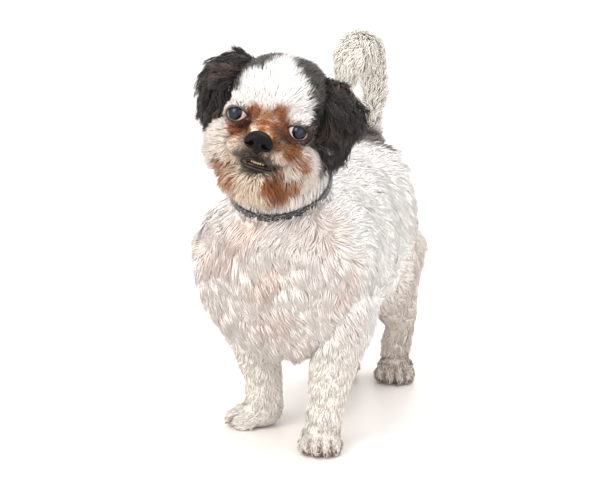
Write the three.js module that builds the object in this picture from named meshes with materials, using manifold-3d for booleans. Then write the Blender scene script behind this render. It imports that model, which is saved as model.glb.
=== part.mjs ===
// A life-size standing shih tzu in a short pet clip, in millimetres, +Z up.
// The dog faces -Y and its left side is +X. It stands on four small flats at Z = 0.
import * as THREE from "three";
import { mergeVertices } from "three/addons/utils/BufferGeometryUtils.js";
import Module from "manifold-3d";

const wasm = await Module();
wasm.setup();

// Driving dimensions
const GAP = 0.3;
const EYE_RADIUS = 11.5;
const LID = 1.8;

// A lock's sections, each a share of its length and of its width. Its tip adds a further share of its
// length, and its root is sunk.
const LOCK_SHAPE = [
  [-0.12, 0.8],
  [0.32, 1],
  [0.68, 0.72],
];
const LOCK_TIP = 0.3;
const LOCK_SINK = 3.5;

// Where the tail is parted, at the top of its curl, and the hind legs, at the hock
const TAIL_CUT = 118;
const HOCK = 86;

// How far each core lies inside the coat's outline, at most half way to the tips of its locks
const CORE = { ear: 2.5, head: 3, jaw: 4, ruff: 4, tail: 7 };

// Rows of locks: share along the limb, number, and the angles that they span
const EAR_ROWS = [
  [0.16, 3, 20, 160],
  [0.4, 4, -20, 250],
  [0.64, 4, 0, 360],
  [0.86, 3, 0, 360],
];
const BEARD_ROWS = [
  [0.3, 4, 180, 360],
  [0.52, 5, 180, 360],
  [0.74, 4, 190, 350],
];
const NECK_ROWS = [
  [0.4, 4, 0, 180],
];
const CHEST_ROWS = [
  [0.04, 5, 0, 360],
  [0.09, 7, 10, 350],
  [0.15, 7, 0, 360],
  [0.22, 5, 170, 370],
];
const BASE_ROWS = [
  [0.16, 3, 0, 360],
  [0.34, 4, 0, 360],
];
const TIP_ROWS = [
  [0.58, 4, 0, 360],
  [0.72, 5, 0, 360],
  [0.86, 4, 0, 360],
];

// Rows of face locks: degrees off the nose's line, number, and the angles that they span round it
const FACE_ROWS = [
  [42, 6, 150, 390],
  [58, 8, 145, 395],
  [76, 7, 140, 400],
];
const NOSE_ROOT = [0, -62, -8];

// The mouth's opening, slightly to the dog's left
const MOUTH = { at: [3, -62, -36.5], half: [16, 12, 4.6], lip: 2.2 };

// The head's own frame: x to the dog's left, y to the nape so that the nose is at -y, z to the crown
const HEAD_AT = new THREE.Vector3(12, -122, 350);
const HEAD_TURN = 18.5;
const HEAD_TILT = -15.5;

const V = (x, y, z) => new THREE.Vector3(x, y, z);
const UP = V(0, 0, 1);
const FORWARD = V(0, -1, 0);
const radians = THREE.MathUtils.degToRad;

function headMatrix() {
  const turn = radians(HEAD_TURN);
  const nose = V(Math.sin(turn), -Math.cos(turn), 0);
  const left = V(Math.cos(turn), Math.sin(turn), 0).applyAxisAngle(nose, radians(HEAD_TILT));
  const nape = nose.clone().negate();
  const crown = new THREE.Vector3().crossVectors(left, nape);
  return new THREE.Matrix4().makeBasis(left, nape, crown).setPosition(HEAD_AT);
}
const HEAD = headMatrix();
const WORLD = new THREE.Matrix4();

// A closed solid of a geometry, with its faces turned outwards.
function solidOf(geometry, matrix = WORLD) {
  const bare = new THREE.BufferGeometry();
  bare.setAttribute("position", geometry.getAttribute("position").clone());
  if (geometry.index) bare.setIndex(geometry.index.clone());
  const merged = mergeVertices(bare.applyMatrix4(matrix), 1e-3);
  const triVerts = new Uint32Array(merged.index.array);
  const kept = [];
  for (let i = 0; i < triVerts.length; i += 3) {
    const [a, b, c] = triVerts.subarray(i, i + 3);
    if (a !== b && b !== c && a !== c) kept.push(a, b, c);
  }
  const build = (indices) =>
    new wasm.Manifold(
      new wasm.Mesh({
        numProp: 3,
        vertProperties: merged.attributes.position.array,
        triVerts: new Uint32Array(indices),
      }),
    );
  const made = build(kept);
  if (made.volume() > 0) return made;
  for (let i = 0; i < kept.length; i += 3) [kept[i + 1], kept[i + 2]] = [kept[i + 2], kept[i + 1]];
  return build(kept);
}

// The geometry of a solid, in the frame of a group placed by matrix.
function geometryOf(solid, matrix) {
  const mesh = solid.getMesh();
  const places = new Float32Array(mesh.numVert * 3);
  for (let i = 0; i < mesh.numVert; i++) {
    places.set(mesh.vertProperties.subarray(i * mesh.numProp, i * mesh.numProp + 3), i * 3);
  }
  const geometry = new THREE.BufferGeometry();
  geometry.setAttribute("position", new THREE.BufferAttribute(places, 3));
  geometry.setIndex(new THREE.BufferAttribute(mesh.triVerts, 1));
  geometry.applyMatrix4(matrix.clone().invert());
  geometry.computeVertexNormals();
  return geometry;
}

// A large block on the far side of a plane, and a solid parted there with the gap between its halves
const REACH = 1000;
function slab(normal, offset) {
  const block = new THREE.BoxGeometry(REACH, REACH, REACH);
  const middle = normal.clone().multiplyScalar(offset + REACH / 2);
  const turn = new THREE.Quaternion().setFromUnitVectors(UP, normal);
  return solidOf(block, new THREE.Matrix4().compose(middle, turn, V(1, 1, 1)));
}
const parted = (solid, normal, at) => [
  solid.subtract(slab(normal, at - GAP / 2)),
  solid.intersect(slab(normal, at + GAP / 2)),
];

const joined = (solids) => solids.reduce((all, one) => all.add(one));
const largest = (solid) =>
  solid.decompose().reduce((best, one) => (one.volume() > best.volume() ? one : best));

// An ellipsoid with its half sizes along x, y and z, turned by degrees about x, y and z.
function ball(at, half, { turn = [0, 0, 0], sides = 16, rings = 10, grow = 0, frame = WORLD } = {}) {
  const geometry = new THREE.SphereGeometry(1, sides, rings).rotateX(Math.PI / 2);
  geometry.scale(...half.map((size) => size + grow));
  geometry.applyMatrix4(
    new THREE.Matrix4().makeRotationFromEuler(new THREE.Euler(...turn.map(radians))).setPosition(...at),
  );
  return solidOf(geometry, frame);
}

// How far a ray from origin along way goes before it leaves an ellipsoid, or 0 if it misses.
function reach(origin, way, [at, half]) {
  const o = V(...origin.toArray().map((value, i) => (value - at[i]) / half[i]));
  const d = V(...way.toArray().map((value, i) => value / half[i]));
  const [a, b, c] = [d.dot(d), o.dot(d), o.dot(o) - 1];
  const root = b * b - a * c;
  return root < 0 ? 0 : Math.max(0, (-b + Math.sqrt(root)) / a);
}

// The largest of several lengths, rounded where two are nearly alike.
const blend = (lengths, hardness) =>
  lengths.reduce((sum, length) => sum + length ** hardness, 0) ** (1 / hardness);

// One smooth closed form round several ellipsoids, as seen from a point inside them all.
function envelope(from, balls, look = {}) {
  const { sides = 24, rings = 14, hardness = 14, grow = 0, frame = WORLD, tip = 0 } = look;
  const geometry = new THREE.SphereGeometry(1, sides, rings).rotateX(Math.PI / 2 + tip);
  const places = geometry.getAttribute("position");
  const origin = V(...from);
  for (let i = 0; i < places.count; i++) {
    const way = new THREE.Vector3().fromBufferAttribute(places, i).normalize();
    const length = blend(balls.map((one) => reach(origin, way, one)), hardness) + grow;
    const p = way.multiplyScalar(length).add(origin);
    places.setXYZ(i, p.x, p.y, p.z);
  }
  return solidOf(geometry, frame);
}

// A rounded limb along stations of [x, y, z, half width, half depth]. Its depth is measured towards front.
class Limb {
  constructor(stations, front, { sides = 20, rings = 14, round = 0.14, frame = WORLD } = {}) {
    this.path = new THREE.CatmullRomCurve3(stations.map(([x, y, z]) => V(x, y, z)));
    this.size = new THREE.CatmullRomCurve3(stations.map(([, , , wide, deep]) => V(wide, deep, 0)));
    this.front = front;
    this.sides = sides;
    this.rings = rings;
    this.round = round;
    this.frame = frame;
  }

  // The surface point at share along (0 to 1) and angle around, and the section's own axes.
  section(along) {
    const tangent = this.path.getTangent(along);
    const side = new THREE.Vector3().crossVectors(this.front, tangent).normalize();
    const depth = new THREE.Vector3().crossVectors(tangent, side).normalize();
    const edge = Math.min(1, Math.min(along, 1 - along) / this.round);
    const cap = Math.sqrt(Math.max(0, 1 - (1 - edge) ** 2));
    return { centre: this.path.getPoint(along), size: this.size.getPoint(along), tangent, side, depth, cap };
  }

  point(along, angle, grow = 0) {
    const { centre, size, tangent, side, depth, cap } = this.section(along);
    const end = Math.sqrt(1 - cap * cap) * (along < 0.5 ? -1 : 1);
    return centre
      .addScaledVector(side, Math.cos(angle) * (size.x + grow) * cap)
      .addScaledVector(depth, Math.sin(angle) * (size.y + grow) * cap)
      .addScaledVector(tangent, end * grow);
  }

  // A place on the surface with its outward and endward directions
  place(along, angle, grow) {
    const step = 0.01;
    const at = this.point(along, angle, grow);
    const ahead = this.point(Math.min(0.999, along + step), angle, grow);
    ahead.sub(this.point(along - step, angle, grow));
    const round = this.point(along, angle + step, grow).sub(this.point(along, angle - step, grow));
    const out = new THREE.Vector3().crossVectors(round, ahead).normalize();
    const { centre, tangent } = this.section(along);
    if (out.dot(at.clone().sub(centre)) < 0) out.negate();
    return { root: at, out, tangent };
  }

  solid(grow = 0) {
    const geometry = new THREE.SphereGeometry(1, this.sides, this.rings);
    const places = geometry.getAttribute("position");
    for (let i = 0; i < places.count; i++) {
      const [x, y, z] = [places.getX(i), places.getY(i), places.getZ(i)];
      const along = Math.acos(THREE.MathUtils.clamp(y, -1, 1)) / Math.PI;
      const angle = Math.hypot(x, z) < 1e-6 ? 0 : Math.atan2(z, x);
      const p = this.point(along, angle, grow);
      places.setXYZ(i, p.x, p.y, p.z);
    }
    return solidOf(geometry, this.frame);
  }
}

// A repeatable stream of numbers from 0 to 1.
function dice(seed) {
  let state = seed;
  return () => {
    state = (state * 1664525 + 1013904223) % 4294967296;
    return state / 4294967296;
  };
}

// One flat lock of coat: a tapered strip of four-sided sections, bent along its lie, with its root sunk.
// Its width lies across the lie and its thickness along out.
function lock(root, out, lie, { length, width, thick, lift, droop, grow = 0 }) {
  const along = lie.clone().addScaledVector(out, -lie.dot(out)).normalize();
  const side = new THREE.Vector3().crossVectors(out, along);
  const places = [];
  const sections = LOCK_SHAPE.map(([share, wide]) => {
    const rise = lift * (share - 0.6 * share * share) * length - LOCK_SINK * (1 - share);
    const centre = root.clone().addScaledVector(along, share * length).addScaledVector(out, rise);
    centre.z -= droop * share * share * length;
    return { centre, half: (width * wide) / 2 + grow, deep: (thick * wide) / 2 + grow };
  });
  for (const { centre, half, deep } of sections) {
    places.push(centre.clone().addScaledVector(side, half));
    places.push(centre.clone().addScaledVector(out, deep));
    places.push(centre.clone().addScaledVector(side, -half));
    places.push(centre.clone().addScaledVector(out, -deep));
  }
  const tip = sections[sections.length - 1].centre.clone();
  tip.addScaledVector(along, length * LOCK_TIP + grow).addScaledVector(out, -lift * length * LOCK_TIP * 0.3);
  places.push(tip);
  const faces = [0, 2, 1, 0, 3, 2];
  for (let ring = 0; ring + 1 < sections.length; ring++) {
    for (let k = 0; k < 4; k++) {
      const [a, b] = [ring * 4 + k, ring * 4 + ((k + 1) % 4)];
      faces.push(a, b, b + 4, a, b + 4, a + 4);
    }
  }
  const last = (sections.length - 1) * 4;
  for (let k = 0; k < 4; k++) faces.push(last + k, last + ((k + 1) % 4), places.length - 1);
  const geometry = new THREE.BufferGeometry().setFromPoints(places);
  geometry.setIndex(faces);
  return solidOf(geometry);
}

// Trunk, from the breastbone to the rump; under the locks of the chest it lies deeper
const TRUNK = [
  [0, -158, 178, 60, 70],
  [0, -120, 182, 88, 90],
  [0, -65, 186, 98, 99],
  [0, 0, 188, 92, 97],
  [-2, 65, 190, 80, 95],
  [-6, 120, 191, 68, 93],
  [-8, 176, 188, 52, 76],
];
const TRUNK_SHAPE = { sides: 22, rings: 13, round: 0.2 };
const torso = new Limb(TRUNK, UP, TRUNK_SHAPE);
const trunkCore = new Limb(
  TRUNK.map(([x, y, z, wide, deep], k) => {
    const under = k < 2 ? CORE.ruff * (2 - k) * 0.75 : 0;
    return [x, y + under, z, wide - under, deep - under];
  }),
  UP,
  TRUNK_SHAPE,
);

// Neck, from the withers up into the back of the skull
const neck = new Limb(
  [
    [0, -62, 205, 64, 70],
    [2, -86, 255, 56, 60],
    [7, -106, 296, 50, 53],
    [10, -112, 334, 44, 47],
  ],
  FORWARD,
  { sides: 20, rings: 9, round: 0.2 },
);

// Each leg from inside the trunk down to the pastern: name, side, stations and the paw's place and turn
const LEGS = {
  front_left: {
    stations: [
      [62, -72, 190, 30, 42],
      [66, -78, 140, 34, 42],
      [60, -84, 95, 28, 32],
      [56, -92, 55, 22, 24],
      [54, -97, 26, 21, 23],
      [54, -99, 12, 20, 22],
    ],
    paw: [54, -103],
    turn: 25,
  },
  front_right: {
    stations: [
      [-60, -56, 190, 30, 42],
      [-62, -58, 140, 36, 42],
      [-48, -58, 95, 29, 32],
      [-37, -60, 55, 22, 24],
      [-34, -62, 26, 21, 23],
      [-35, -62, 12, 20, 22],
    ],
    paw: [-42, -68],
    turn: -58,
  },
  hind_left: {
    stations: [
      [28, 116, 195, 32, 56],
      [30, 116, 145, 34, 54],
      [27, 134, 102, 26, 36],
      [24, 156, 66, 20, 22],
      [21, 154, 36, 19, 20],
      [20, 150, 14, 19, 20],
    ],
    paw: [25, 142],
    turn: 22,
  },
  hind_right: {
    stations: [
      [-44, 88, 195, 34, 56],
      [-50, 88, 145, 36, 54],
      [-48, 104, 102, 28, 36],
      [-38, 128, 66, 20, 22],
      [-34, 124, 36, 18, 19],
      [-32, 118, 14, 19, 20],
    ],
    paw: [-32, 110],
    turn: -22,
  },
};

const LEG_SHAPE = { sides: 11, rings: 9, round: 0.12 };
const legs = Object.fromEntries(
  Object.entries(LEGS).map(([name, { stations }]) => [name, new Limb(stations, FORWARD, LEG_SHAPE)]),
);

// A paw: a pad with four knuckled toes, flat underneath at the floor. Toes point along -y before the turn.
const PAW = { wide: 23, long: 27, high: 17 };
const TOES = [-16, -5.8, 5.8, 16];
const TOE_BOW = 0.03;
const FLOOR = 400;

function pawSolid({ paw: [x, y], turn }, grow = 0) {
  const frame = new THREE.Matrix4().makeRotationZ(radians(turn)).setPosition(x, y, 0);
  const toes = TOES.map((side) => [[side, -19 + side * side * TOE_BOW, 10], [6.6, 13, 10]]);
  const pad = [[0, 2, PAW.high - 4], [PAW.wide, PAW.long, PAW.high + 3]];
  const sole = envelope([0, -2, 8], [pad, ...toes], { sides: 20, rings: 8, hardness: 20, grow, frame });
  const claws = TOES.map((side) => {
    const tip = [side * 1.05, -31 + side * side * TOE_BOW, 6.5];
    return ball(tip, [1.7, 5, 2.4], { sides: 5, rings: 4, turn: [30, 0, side * 0.8], grow, frame });
  });
  const floor = solidOf(new THREE.BoxGeometry(FLOOR * 2, FLOOR * 2, FLOOR).translate(0, 0, -FLOOR / 2));
  return joined([sole, ...claws]).subtract(floor);
}

// Tail, up from the croup and curled forward over the back
const tail = new Limb(
  [
    [-9, 138, 258, 20, 20],
    [-11, 150, 294, 15, 15],
    [-10, 152, 338, 18, 18],
    [-9, 130, 374, 22, 22],
    [-8, 98, 376, 22, 22],
    [-7, 76, 348, 14, 15],
  ],
  V(1, 0, 0),
  { sides: 12, rings: 12, round: 0.16 },
);

// Skull, cheeks, muzzle and brows, in the head's frame
const HEAD_BALLS = [
  [[0, 8, 11], [54, 58, 50]],
  [[0, -2, -26], [57, 50, 40]],
  [[28, -22, -34], [30, 36, 32]],
  [[-28, -22, -34], [30, 36, 32]],
  [[0, -52, -8], [17, 22, 13]],
  [[14, -56, -24], [18, 17, 13]],
  [[-14, -56, -24], [18, 17, 13]],
  [[28, -30, 12], [20, 18, 12]],
  [[-28, -30, 12], [20, 18, 12]],
];

const HEAD_HEART = [0, -4, -12];

const EYES = { eye_left: [31, -37, 0], eye_right: [-31, -37, 0] };

function headSolid(grow = 0) {
  return envelope(HEAD_HEART, HEAD_BALLS, { sides: 26, rings: 16, grow, frame: HEAD, tip: Math.PI / 2 });
}

function eyeSolid(at, grow = 0) {
  const radius = EYE_RADIUS + grow;
  return ball(at, [radius, radius, radius], { frame: HEAD, sides: 14, rings: 9 });
}

// The almond between the lids, cut along the eye's own line of sight
function lidOpening([x, y, z]) {
  const out = Math.sign(x);
  const turn = [0, out * 6, out * -14];
  return ball([x + out * 3, y - 11, z], [9.6, 12, 7.4], { turn, frame: HEAD, sides: 14, rings: 8 });
}

function noseSolid(grow = 0) {
  const parts = [
    [[0, -70, -11], [12, 9, 8]],
    [[7.5, -71, -14.5], [7, 7.5, 6.5]],
    [[-7.5, -71, -14.5], [7, 7.5, 6.5]],
    [[0, -71, -18], [4.5, 6, 7.5]],
  ];
  return envelope([0, -71, -13], parts, { sides: 16, rings: 8, grow, frame: HEAD });
}

function nostrils() {
  return joined(
    [1, -1].map((out) => {
      const look = { turn: [0, out * 35, 0], frame: HEAD, sides: 8, rings: 5 };
      return ball([out * 6.6, -79, -14.5], [2.9, 5, 2.2], look);
    }),
  );
}

// Lower jaw, a little longer than the upper, with the chin's beard
const jaw = new Limb(
  [
    [2, -4, -64, 40, 20],
    [2, -32, -62, 38, 20],
    [1, -54, -56, 28, 17],
    [0, -68, -50, 16, 11],
  ],
  V(0, 0, 1),
  { sides: 14, rings: 8, round: 0.2, frame: HEAD },
);

// A lip along the upper (1) or lower (-1) edge of the mouth
function lips(upper, grow = 0) {
  const [wide, , tall] = MOUTH.half;
  const [x, y, z] = MOUTH.at;
  const count = 5;
  const beads = Array.from({ length: count }, (_, k) => {
    const around = (Math.PI * (k + 0.5)) / count;
    const [c, s] = [Math.cos(around), Math.sin(around)];
    const at = [x + wide * c, y - 6 + 5 * c * c, z + upper * tall * s];
    return ball(at, [5.6, 2.6, MOUTH.lip], { frame: HEAD, sides: 6, rings: 4, grow });
  });
  return joined(beads);
}

// Teeth: six small lower incisors on one strip of gum
function teethSolid() {
  const gum = ball([0, -62, -37.5], [10, 4, 2.4], { frame: HEAD, sides: 10, rings: 4 });
  const teeth = [-7.5, -4.5, -1.5, 1.5, 4.5, 7.5].map((side) =>
    ball([side, -64.5 + side * side * 0.04, -35.4], [1.3, 1.1, 2.6], { frame: HEAD, sides: 6, rings: 4 }),
  );
  return joined([gum, ...teeth]);
}

// Ear: a leather flap from the corner of the skull, out and then down, cupped towards the head
function earLimb(out) {
  return new Limb(
    [
      [out * 28, 10, 42, 15, 8],
      [out * 55, 4, 34, 20, 8],
      [out * 65, 0, 17, 22, 8],
      [out * 61, -4, -6, 19, 7],
      [out * 57, -7, -30, 11, 5],
    ],
    V(out * 0.65, -0.7, 0.35),
    { sides: 10, rings: 8, round: 0.16, frame: HEAD },
  );
}

// Collar: a flat strap round the neck
const COLLAR = { along: 0.5, wide: 10, thick: 2.2, sides: 26 };

function collarSolid(grow = 0) {
  const { centre, size, tangent, side, depth } = neck.section(COLLAR.along);
  const frame = new THREE.Matrix4().makeBasis(side, tangent, depth).setPosition(centre);
  const half = COLLAR.wide / 2 + grow;
  const band = (past, tall) => {
    const drum = new THREE.CylinderGeometry(1, 1, tall, COLLAR.sides);
    return solidOf(drum.scale(size.x + past, 1, size.y + past), frame);
  };
  return band(COLLAR.thick + GAP + grow, half * 2).subtract(band(-COLLAR.thick, half * 3));
}

const COLOURS = {
  coat: 0xe9e2dc,
  dark: 0x2a2320,
  eye: 0x10131c,
  nose: 0x151314,
  tooth: 0xe8dcc4,
  strap: 0x23282b,
};
const finish = (color, roughness) => new THREE.MeshStandardMaterial({ color, roughness, metalness: 0 });

const root = new THREE.Group();
const headGroup = new THREE.Group();
headGroup.applyMatrix4(HEAD);
root.add(headGroup);

function hang(group, name, solid, material) {
  group.updateMatrixWorld(true);
  const mesh = new THREE.Mesh(geometryOf(largest(solid), group.matrixWorld), material);
  mesh.name = name;
  group.add(mesh);
}

// Locks in rows: each row has a share along, a number of locks and the angles that it spans, in degrees.
// The locks are made twice, as they are and grown by the gap, for what has to keep clear of them.
function locksOnLimb(limb, rows, look, seed, lieOf) {
  return lockPair(seed, look, (draw) =>
    rows.flatMap(([along, count, from, to]) =>
      Array.from({ length: count }, (_, k) => {
        const share = (k + 0.5 + (draw() - 0.5) * 0.5) / count;
        const angle = radians(from + (to - from) * share);
        const place = limb.place(along + (draw() - 0.5) * 0.03, angle, -look.core);
        const world = {
          root: place.root.applyMatrix4(limb.frame),
          out: place.out.transformDirection(limb.frame),
          tangent: place.tangent.transformDirection(limb.frame),
        };
        return { ...world, lie: lieOf(world) };
      }),
    ),
  );
}

function lockPair(seed, look, placesOf) {
  const places = placesOf(dice(seed));
  const build = (grow) => {
    const draw = dice(seed + 1);
    return joined(
      places.map(({ root, out, lie }) => {
        const sway = new THREE.Vector3().crossVectors(out, lie).multiplyScalar((draw() - 0.5) * look.sway);
        const length = look.length * (0.8 + 0.4 * draw());
        const width = look.width * (0.85 + 0.3 * draw());
        const lift = look.lift * (0.7 + 0.6 * draw());
        return lock(root, out, lie.clone().add(sway), { ...look, length, width, lift, grow });
      }),
    );
  };
  return { made: build(0), fat: build(GAP) };
}

// A node's core with its locks, kept clear of what stands near
function dressed(core, locks, neighbours) {
  const clear = neighbours.reduce((left, fat) => left.subtract(fat), locks.made);
  return largest(core.add(clear));
}

const coat = finish(COLOURS.coat, 0.85);
const dark = finish(COLOURS.dark, 0.8);

// Plain forms, each grown by the gap for what lies against it
const trunkFat = torso.solid(GAP);
const headFat = headSolid(GAP);
const jawFat = jaw.solid(GAP);
const neckFat = neck.solid(GAP);
const legFats = Object.values(legs).map((limb) => limb.solid(GAP));
const collarFat = collarSolid(GAP);
const eyeFats = Object.values(EYES).map((at) => eyeSolid(at, GAP).add(lidOpening(at)));
const noseFat = noseSolid(GAP);
const mouth = ball(MOUTH.at, MOUTH.half, { frame: HEAD, sides: 14, rings: 6 });

// Ears: locks on both faces of a flap that is hollowed on its inner side
const DOWN = V(0, 0, -1);
const earLook = { core: CORE.ear, length: 30, width: 17, thick: 4, lift: 0.34, droop: 0.12, sway: 0.5 };
const ears = {};
for (const [name, out] of [["ear_left", 1], ["ear_right", -1]]) {
  const limb = earLimb(out);
  const hollow = { turn: [0, out * 18, out * 36], frame: HEAD, sides: 8, rings: 5 };
  const cup = ball([out * 58, 4, 8], [13, 5, 24], hollow);
  const flap = limb.solid(-CORE.ear).subtract(headFat).subtract(cup);
  const locks = locksOnLimb(limb, EAR_ROWS, earLook, 7 + out, ({ tangent, out: face }) =>
    tangent.clone().addScaledVector(face, 0.1).addScaledVector(DOWN, 0.15),
  );
  const solid = dressed(flap, locks, [headFat, ...eyeFats]);
  ears[name] = { solid, fat: limb.solid(GAP - CORE.ear).add(locks.fat) };
}
const earFats = Object.values(ears).map(({ fat }) => fat);

// Head: lids round the eyes, the mouth's opening with its lips, and locks on cheeks and moustache
const faceLook = { core: 0, length: 23, width: 12, thick: 3.4, lift: 0.3, droop: 0.1, sway: 0.35 };
const faceLocks = lockPair(31, faceLook, (draw) =>
  FACE_ROWS.flatMap(([tilt, count, from, to]) =>
    Array.from({ length: count }, (_, k) => {
      const around = radians(from + ((to - from) * (k + 0.5 + (draw() - 0.5) * 0.4)) / count);
      const [s, c] = [Math.sin(radians(tilt)), Math.cos(radians(tilt))];
      const way = V(s * Math.cos(around), -c, s * Math.sin(around));
      const length = blend(HEAD_BALLS.map((one) => reach(V(...HEAD_HEART), way, one)), 14) - CORE.head;
      const root = way.clone().multiplyScalar(length).add(V(...HEAD_HEART));
      const lie = root.clone().sub(V(...NOSE_ROOT)).normalize().add(V(0, 0, -0.5));
      return {
        root: root.applyMatrix4(HEAD),
        out: way.transformDirection(HEAD),
        lie: lie.transformDirection(HEAD),
      };
    }),
  ),
);
let head = headSolid(-CORE.head);
for (const at of Object.values(EYES)) head = head.add(eyeSolid(at, LID));
head = head.add(lips(1));
head = dressed(head, faceLocks, [...earFats, jawFat]);
for (const fat of [...eyeFats, noseFat, mouth, jawFat, trunkFat, collarFat]) head = head.subtract(fat);

// Jaw: the lower lip and the beard
const beardLook = { core: CORE.jaw, length: 22, width: 14, thick: 3.6, lift: 0.25, droop: 0.3, sway: 0.4 };
const beardLie = ({ out }) => V(0, -0.25, -1).addScaledVector(out, 0.2);
const beardLocks = locksOnLimb(jaw, BEARD_ROWS, beardLook, 53, beardLie);
const headLand = headFat.subtract(jaw.solid()).add(lips(1, GAP));
const faceFat = faceLocks.fat.add(headLand);
let chin = jaw.solid(-CORE.jaw).add(lips(-1)).subtract(mouth);
chin = dressed(chin, beardLocks, [faceFat, mouth, trunkFat, neckFat, collarFat]);
for (const fat of [trunkFat, collarFat, lips(1, GAP)]) chin = chin.subtract(fat);
const chinFat = beardLocks.fat.add(jawFat).add(lips(-1, GAP));
head = head.subtract(lips(-1, GAP));

// Neck and trunk, with the ruff of the throat and chest
const SPREAD = 0.004;
const ruffLook = { core: CORE.ruff, length: 38, width: 24, thick: 5, lift: 0.2, droop: 0.05, sway: 0.6 };
const neckLie = ({ root }) => V(root.x * SPREAD, 0.1, -1);
const neckLocks = locksOnLimb(neck, NECK_ROWS, ruffLook, 71, neckLie);
const aboveNeck = [collarFat, headFat, chinFat, faceFat, ...earFats];
const neckBody = dressed(neck.solid(-CORE.ruff), neckLocks, aboveNeck)
  .subtract(trunkFat)
  .subtract(faceFat)
  .subtract(chinFat)
  .subtract(collarFat);
const neckAll = neckLocks.fat.add(neck.solid(GAP - CORE.ruff));
const chestLie = ({ root }) => V(root.x * SPREAD, 0.15, -1);
const chestLocks = locksOnLimb(torso, CHEST_ROWS, ruffLook, 97, chestLie);
const pawFats = Object.values(LEGS).map((leg) => pawSolid(leg, GAP));
const near = [neckAll, chinFat, faceFat, collarFat, ...legFats, ...pawFats];
const trunk = dressed(trunkCore.solid(), chestLocks, near);
const trunkAll = trunkFat.add(chestLocks.fat);
hang(root, "torso", trunk, coat);
hang(root, "neck", neckBody, coat);
hang(root, "collar", collarSolid().subtract(trunkFat), finish(COLOURS.strap, 0.6));

// Legs, the hind ones parted at the hock
for (const [name, limb] of Object.entries(legs)) {
  const paw = LEGS[name];
  const whole = limb.solid().subtract(trunkFat).subtract(pawSolid(paw, GAP));
  if (name.startsWith("hind")) {
    const [low, high] = parted(whole, UP, HOCK);
    hang(root, "thigh_" + name, high, coat);
    hang(root, "shank_" + name, low, coat);
  } else {
    hang(root, "leg_" + name, whole, coat);
  }
  hang(root, "paw_" + name, pawSolid(paw), coat);
}

// Tail, parted at the top of its curl
const plumeLook = { core: CORE.tail, length: 44, width: 20, thick: 5, lift: 0.3, droop: 0.12, sway: 0.5 };
const plume = (rows, seed) => locksOnLimb(tail, rows, plumeLook, seed, ({ tangent }) => tangent.clone());
const tailCore = tail.solid(-CORE.tail);
const [tipCore, baseCore] = parted(tailCore, V(0, 1, 0), TAIL_CUT);
const tipLocks = plume(TIP_ROWS, 131);
const baseLocks = plume(BASE_ROWS, 137);
const behind = slab(V(0, 1, 0), TAIL_CUT - GAP / 2);
const tipSolid = dressed(tipCore, tipLocks, [behind, trunkAll]);
const tipAhead = tail.solid(GAP - CORE.tail).intersect(slab(V(0, -1, 0), -TAIL_CUT));
const tipFat = tipAhead.add(tipLocks.fat.subtract(behind));
hang(root, "tail_base", dressed(baseCore, baseLocks, [tipFat, trunkAll]).subtract(trunkAll), coat);
hang(root, "tail_tip", tipSolid, coat);

hang(headGroup, "head", head, coat);
for (const [name, at] of Object.entries(EYES)) hang(headGroup, name, eyeSolid(at), finish(COLOURS.eye, 0.1));
hang(headGroup, "nose", noseSolid().subtract(nostrils()), finish(COLOURS.nose, 0.35));
for (const [name, { solid }] of Object.entries(ears)) hang(headGroup, name, solid, dark);
hang(headGroup, "jaw", chin, coat);
hang(headGroup, "lower_teeth", teethSolid().subtract(chinFat).subtract(faceFat), finish(COLOURS.tooth, 0.3));

// The floor's level is Z = 0, under the middle of the whole dog
const centre = new THREE.Box3().setFromObject(root, true).getCenter(new THREE.Vector3());
root.position.set(-centre.x, -centre.y, 0);

export default root;
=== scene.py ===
"""A standing shih tzu in a short pet clip: skin, coat, eyes, nose, mouth, claws and collar."""

import itertools
import math

import bpy
import numpy as np
from mathutils import Euler, Matrix, Vector
from mathutils.kdtree import KDTree


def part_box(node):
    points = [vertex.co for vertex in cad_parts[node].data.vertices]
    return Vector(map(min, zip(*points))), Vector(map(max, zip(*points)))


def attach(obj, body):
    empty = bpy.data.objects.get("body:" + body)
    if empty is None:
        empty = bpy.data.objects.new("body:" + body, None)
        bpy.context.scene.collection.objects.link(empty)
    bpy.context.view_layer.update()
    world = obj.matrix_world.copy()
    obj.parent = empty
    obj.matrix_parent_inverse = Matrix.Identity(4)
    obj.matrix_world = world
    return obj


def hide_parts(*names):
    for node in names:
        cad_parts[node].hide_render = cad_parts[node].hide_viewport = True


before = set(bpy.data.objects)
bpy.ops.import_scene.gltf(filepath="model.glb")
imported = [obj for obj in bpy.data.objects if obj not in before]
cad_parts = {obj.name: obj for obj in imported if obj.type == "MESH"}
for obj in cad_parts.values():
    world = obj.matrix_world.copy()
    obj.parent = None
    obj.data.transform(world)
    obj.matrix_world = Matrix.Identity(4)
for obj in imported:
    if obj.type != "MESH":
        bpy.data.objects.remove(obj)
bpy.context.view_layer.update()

bl_info = {
    "name": "Standing shih tzu",
    "version": (1, 0, 0),
    "blender": (4, 5, 0),
    "location": "View3D > Sidebar > Shih tzu",
    "description": "Builds the skin, coat, eyes, nose, mouth, claws and collar of a standing shih tzu",
    "category": "Mesh",
}

MM = 0.001


def linear(code):
    """The linear colour of an sRGB hex code."""
    parts = [int(code[i : i + 2], 16) / 255 for i in (0, 2, 4)]
    return tuple(part / 12.92 if part <= 0.04045 else ((part + 0.055) / 1.055) ** 2.4 for part in parts)


def smooth(low, high, value):
    """A smooth step from 0 at low to 1 at high; low may be the larger."""
    share = np.clip((value - low) / (high - low), 0, 1)
    return share * share * (3 - 2 * share)


def unit(vectors):
    """Vectors drawn to a length of 1."""
    return vectors / np.maximum(np.linalg.norm(vectors, axis=-1, keepdims=True), 1e-9)


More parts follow.
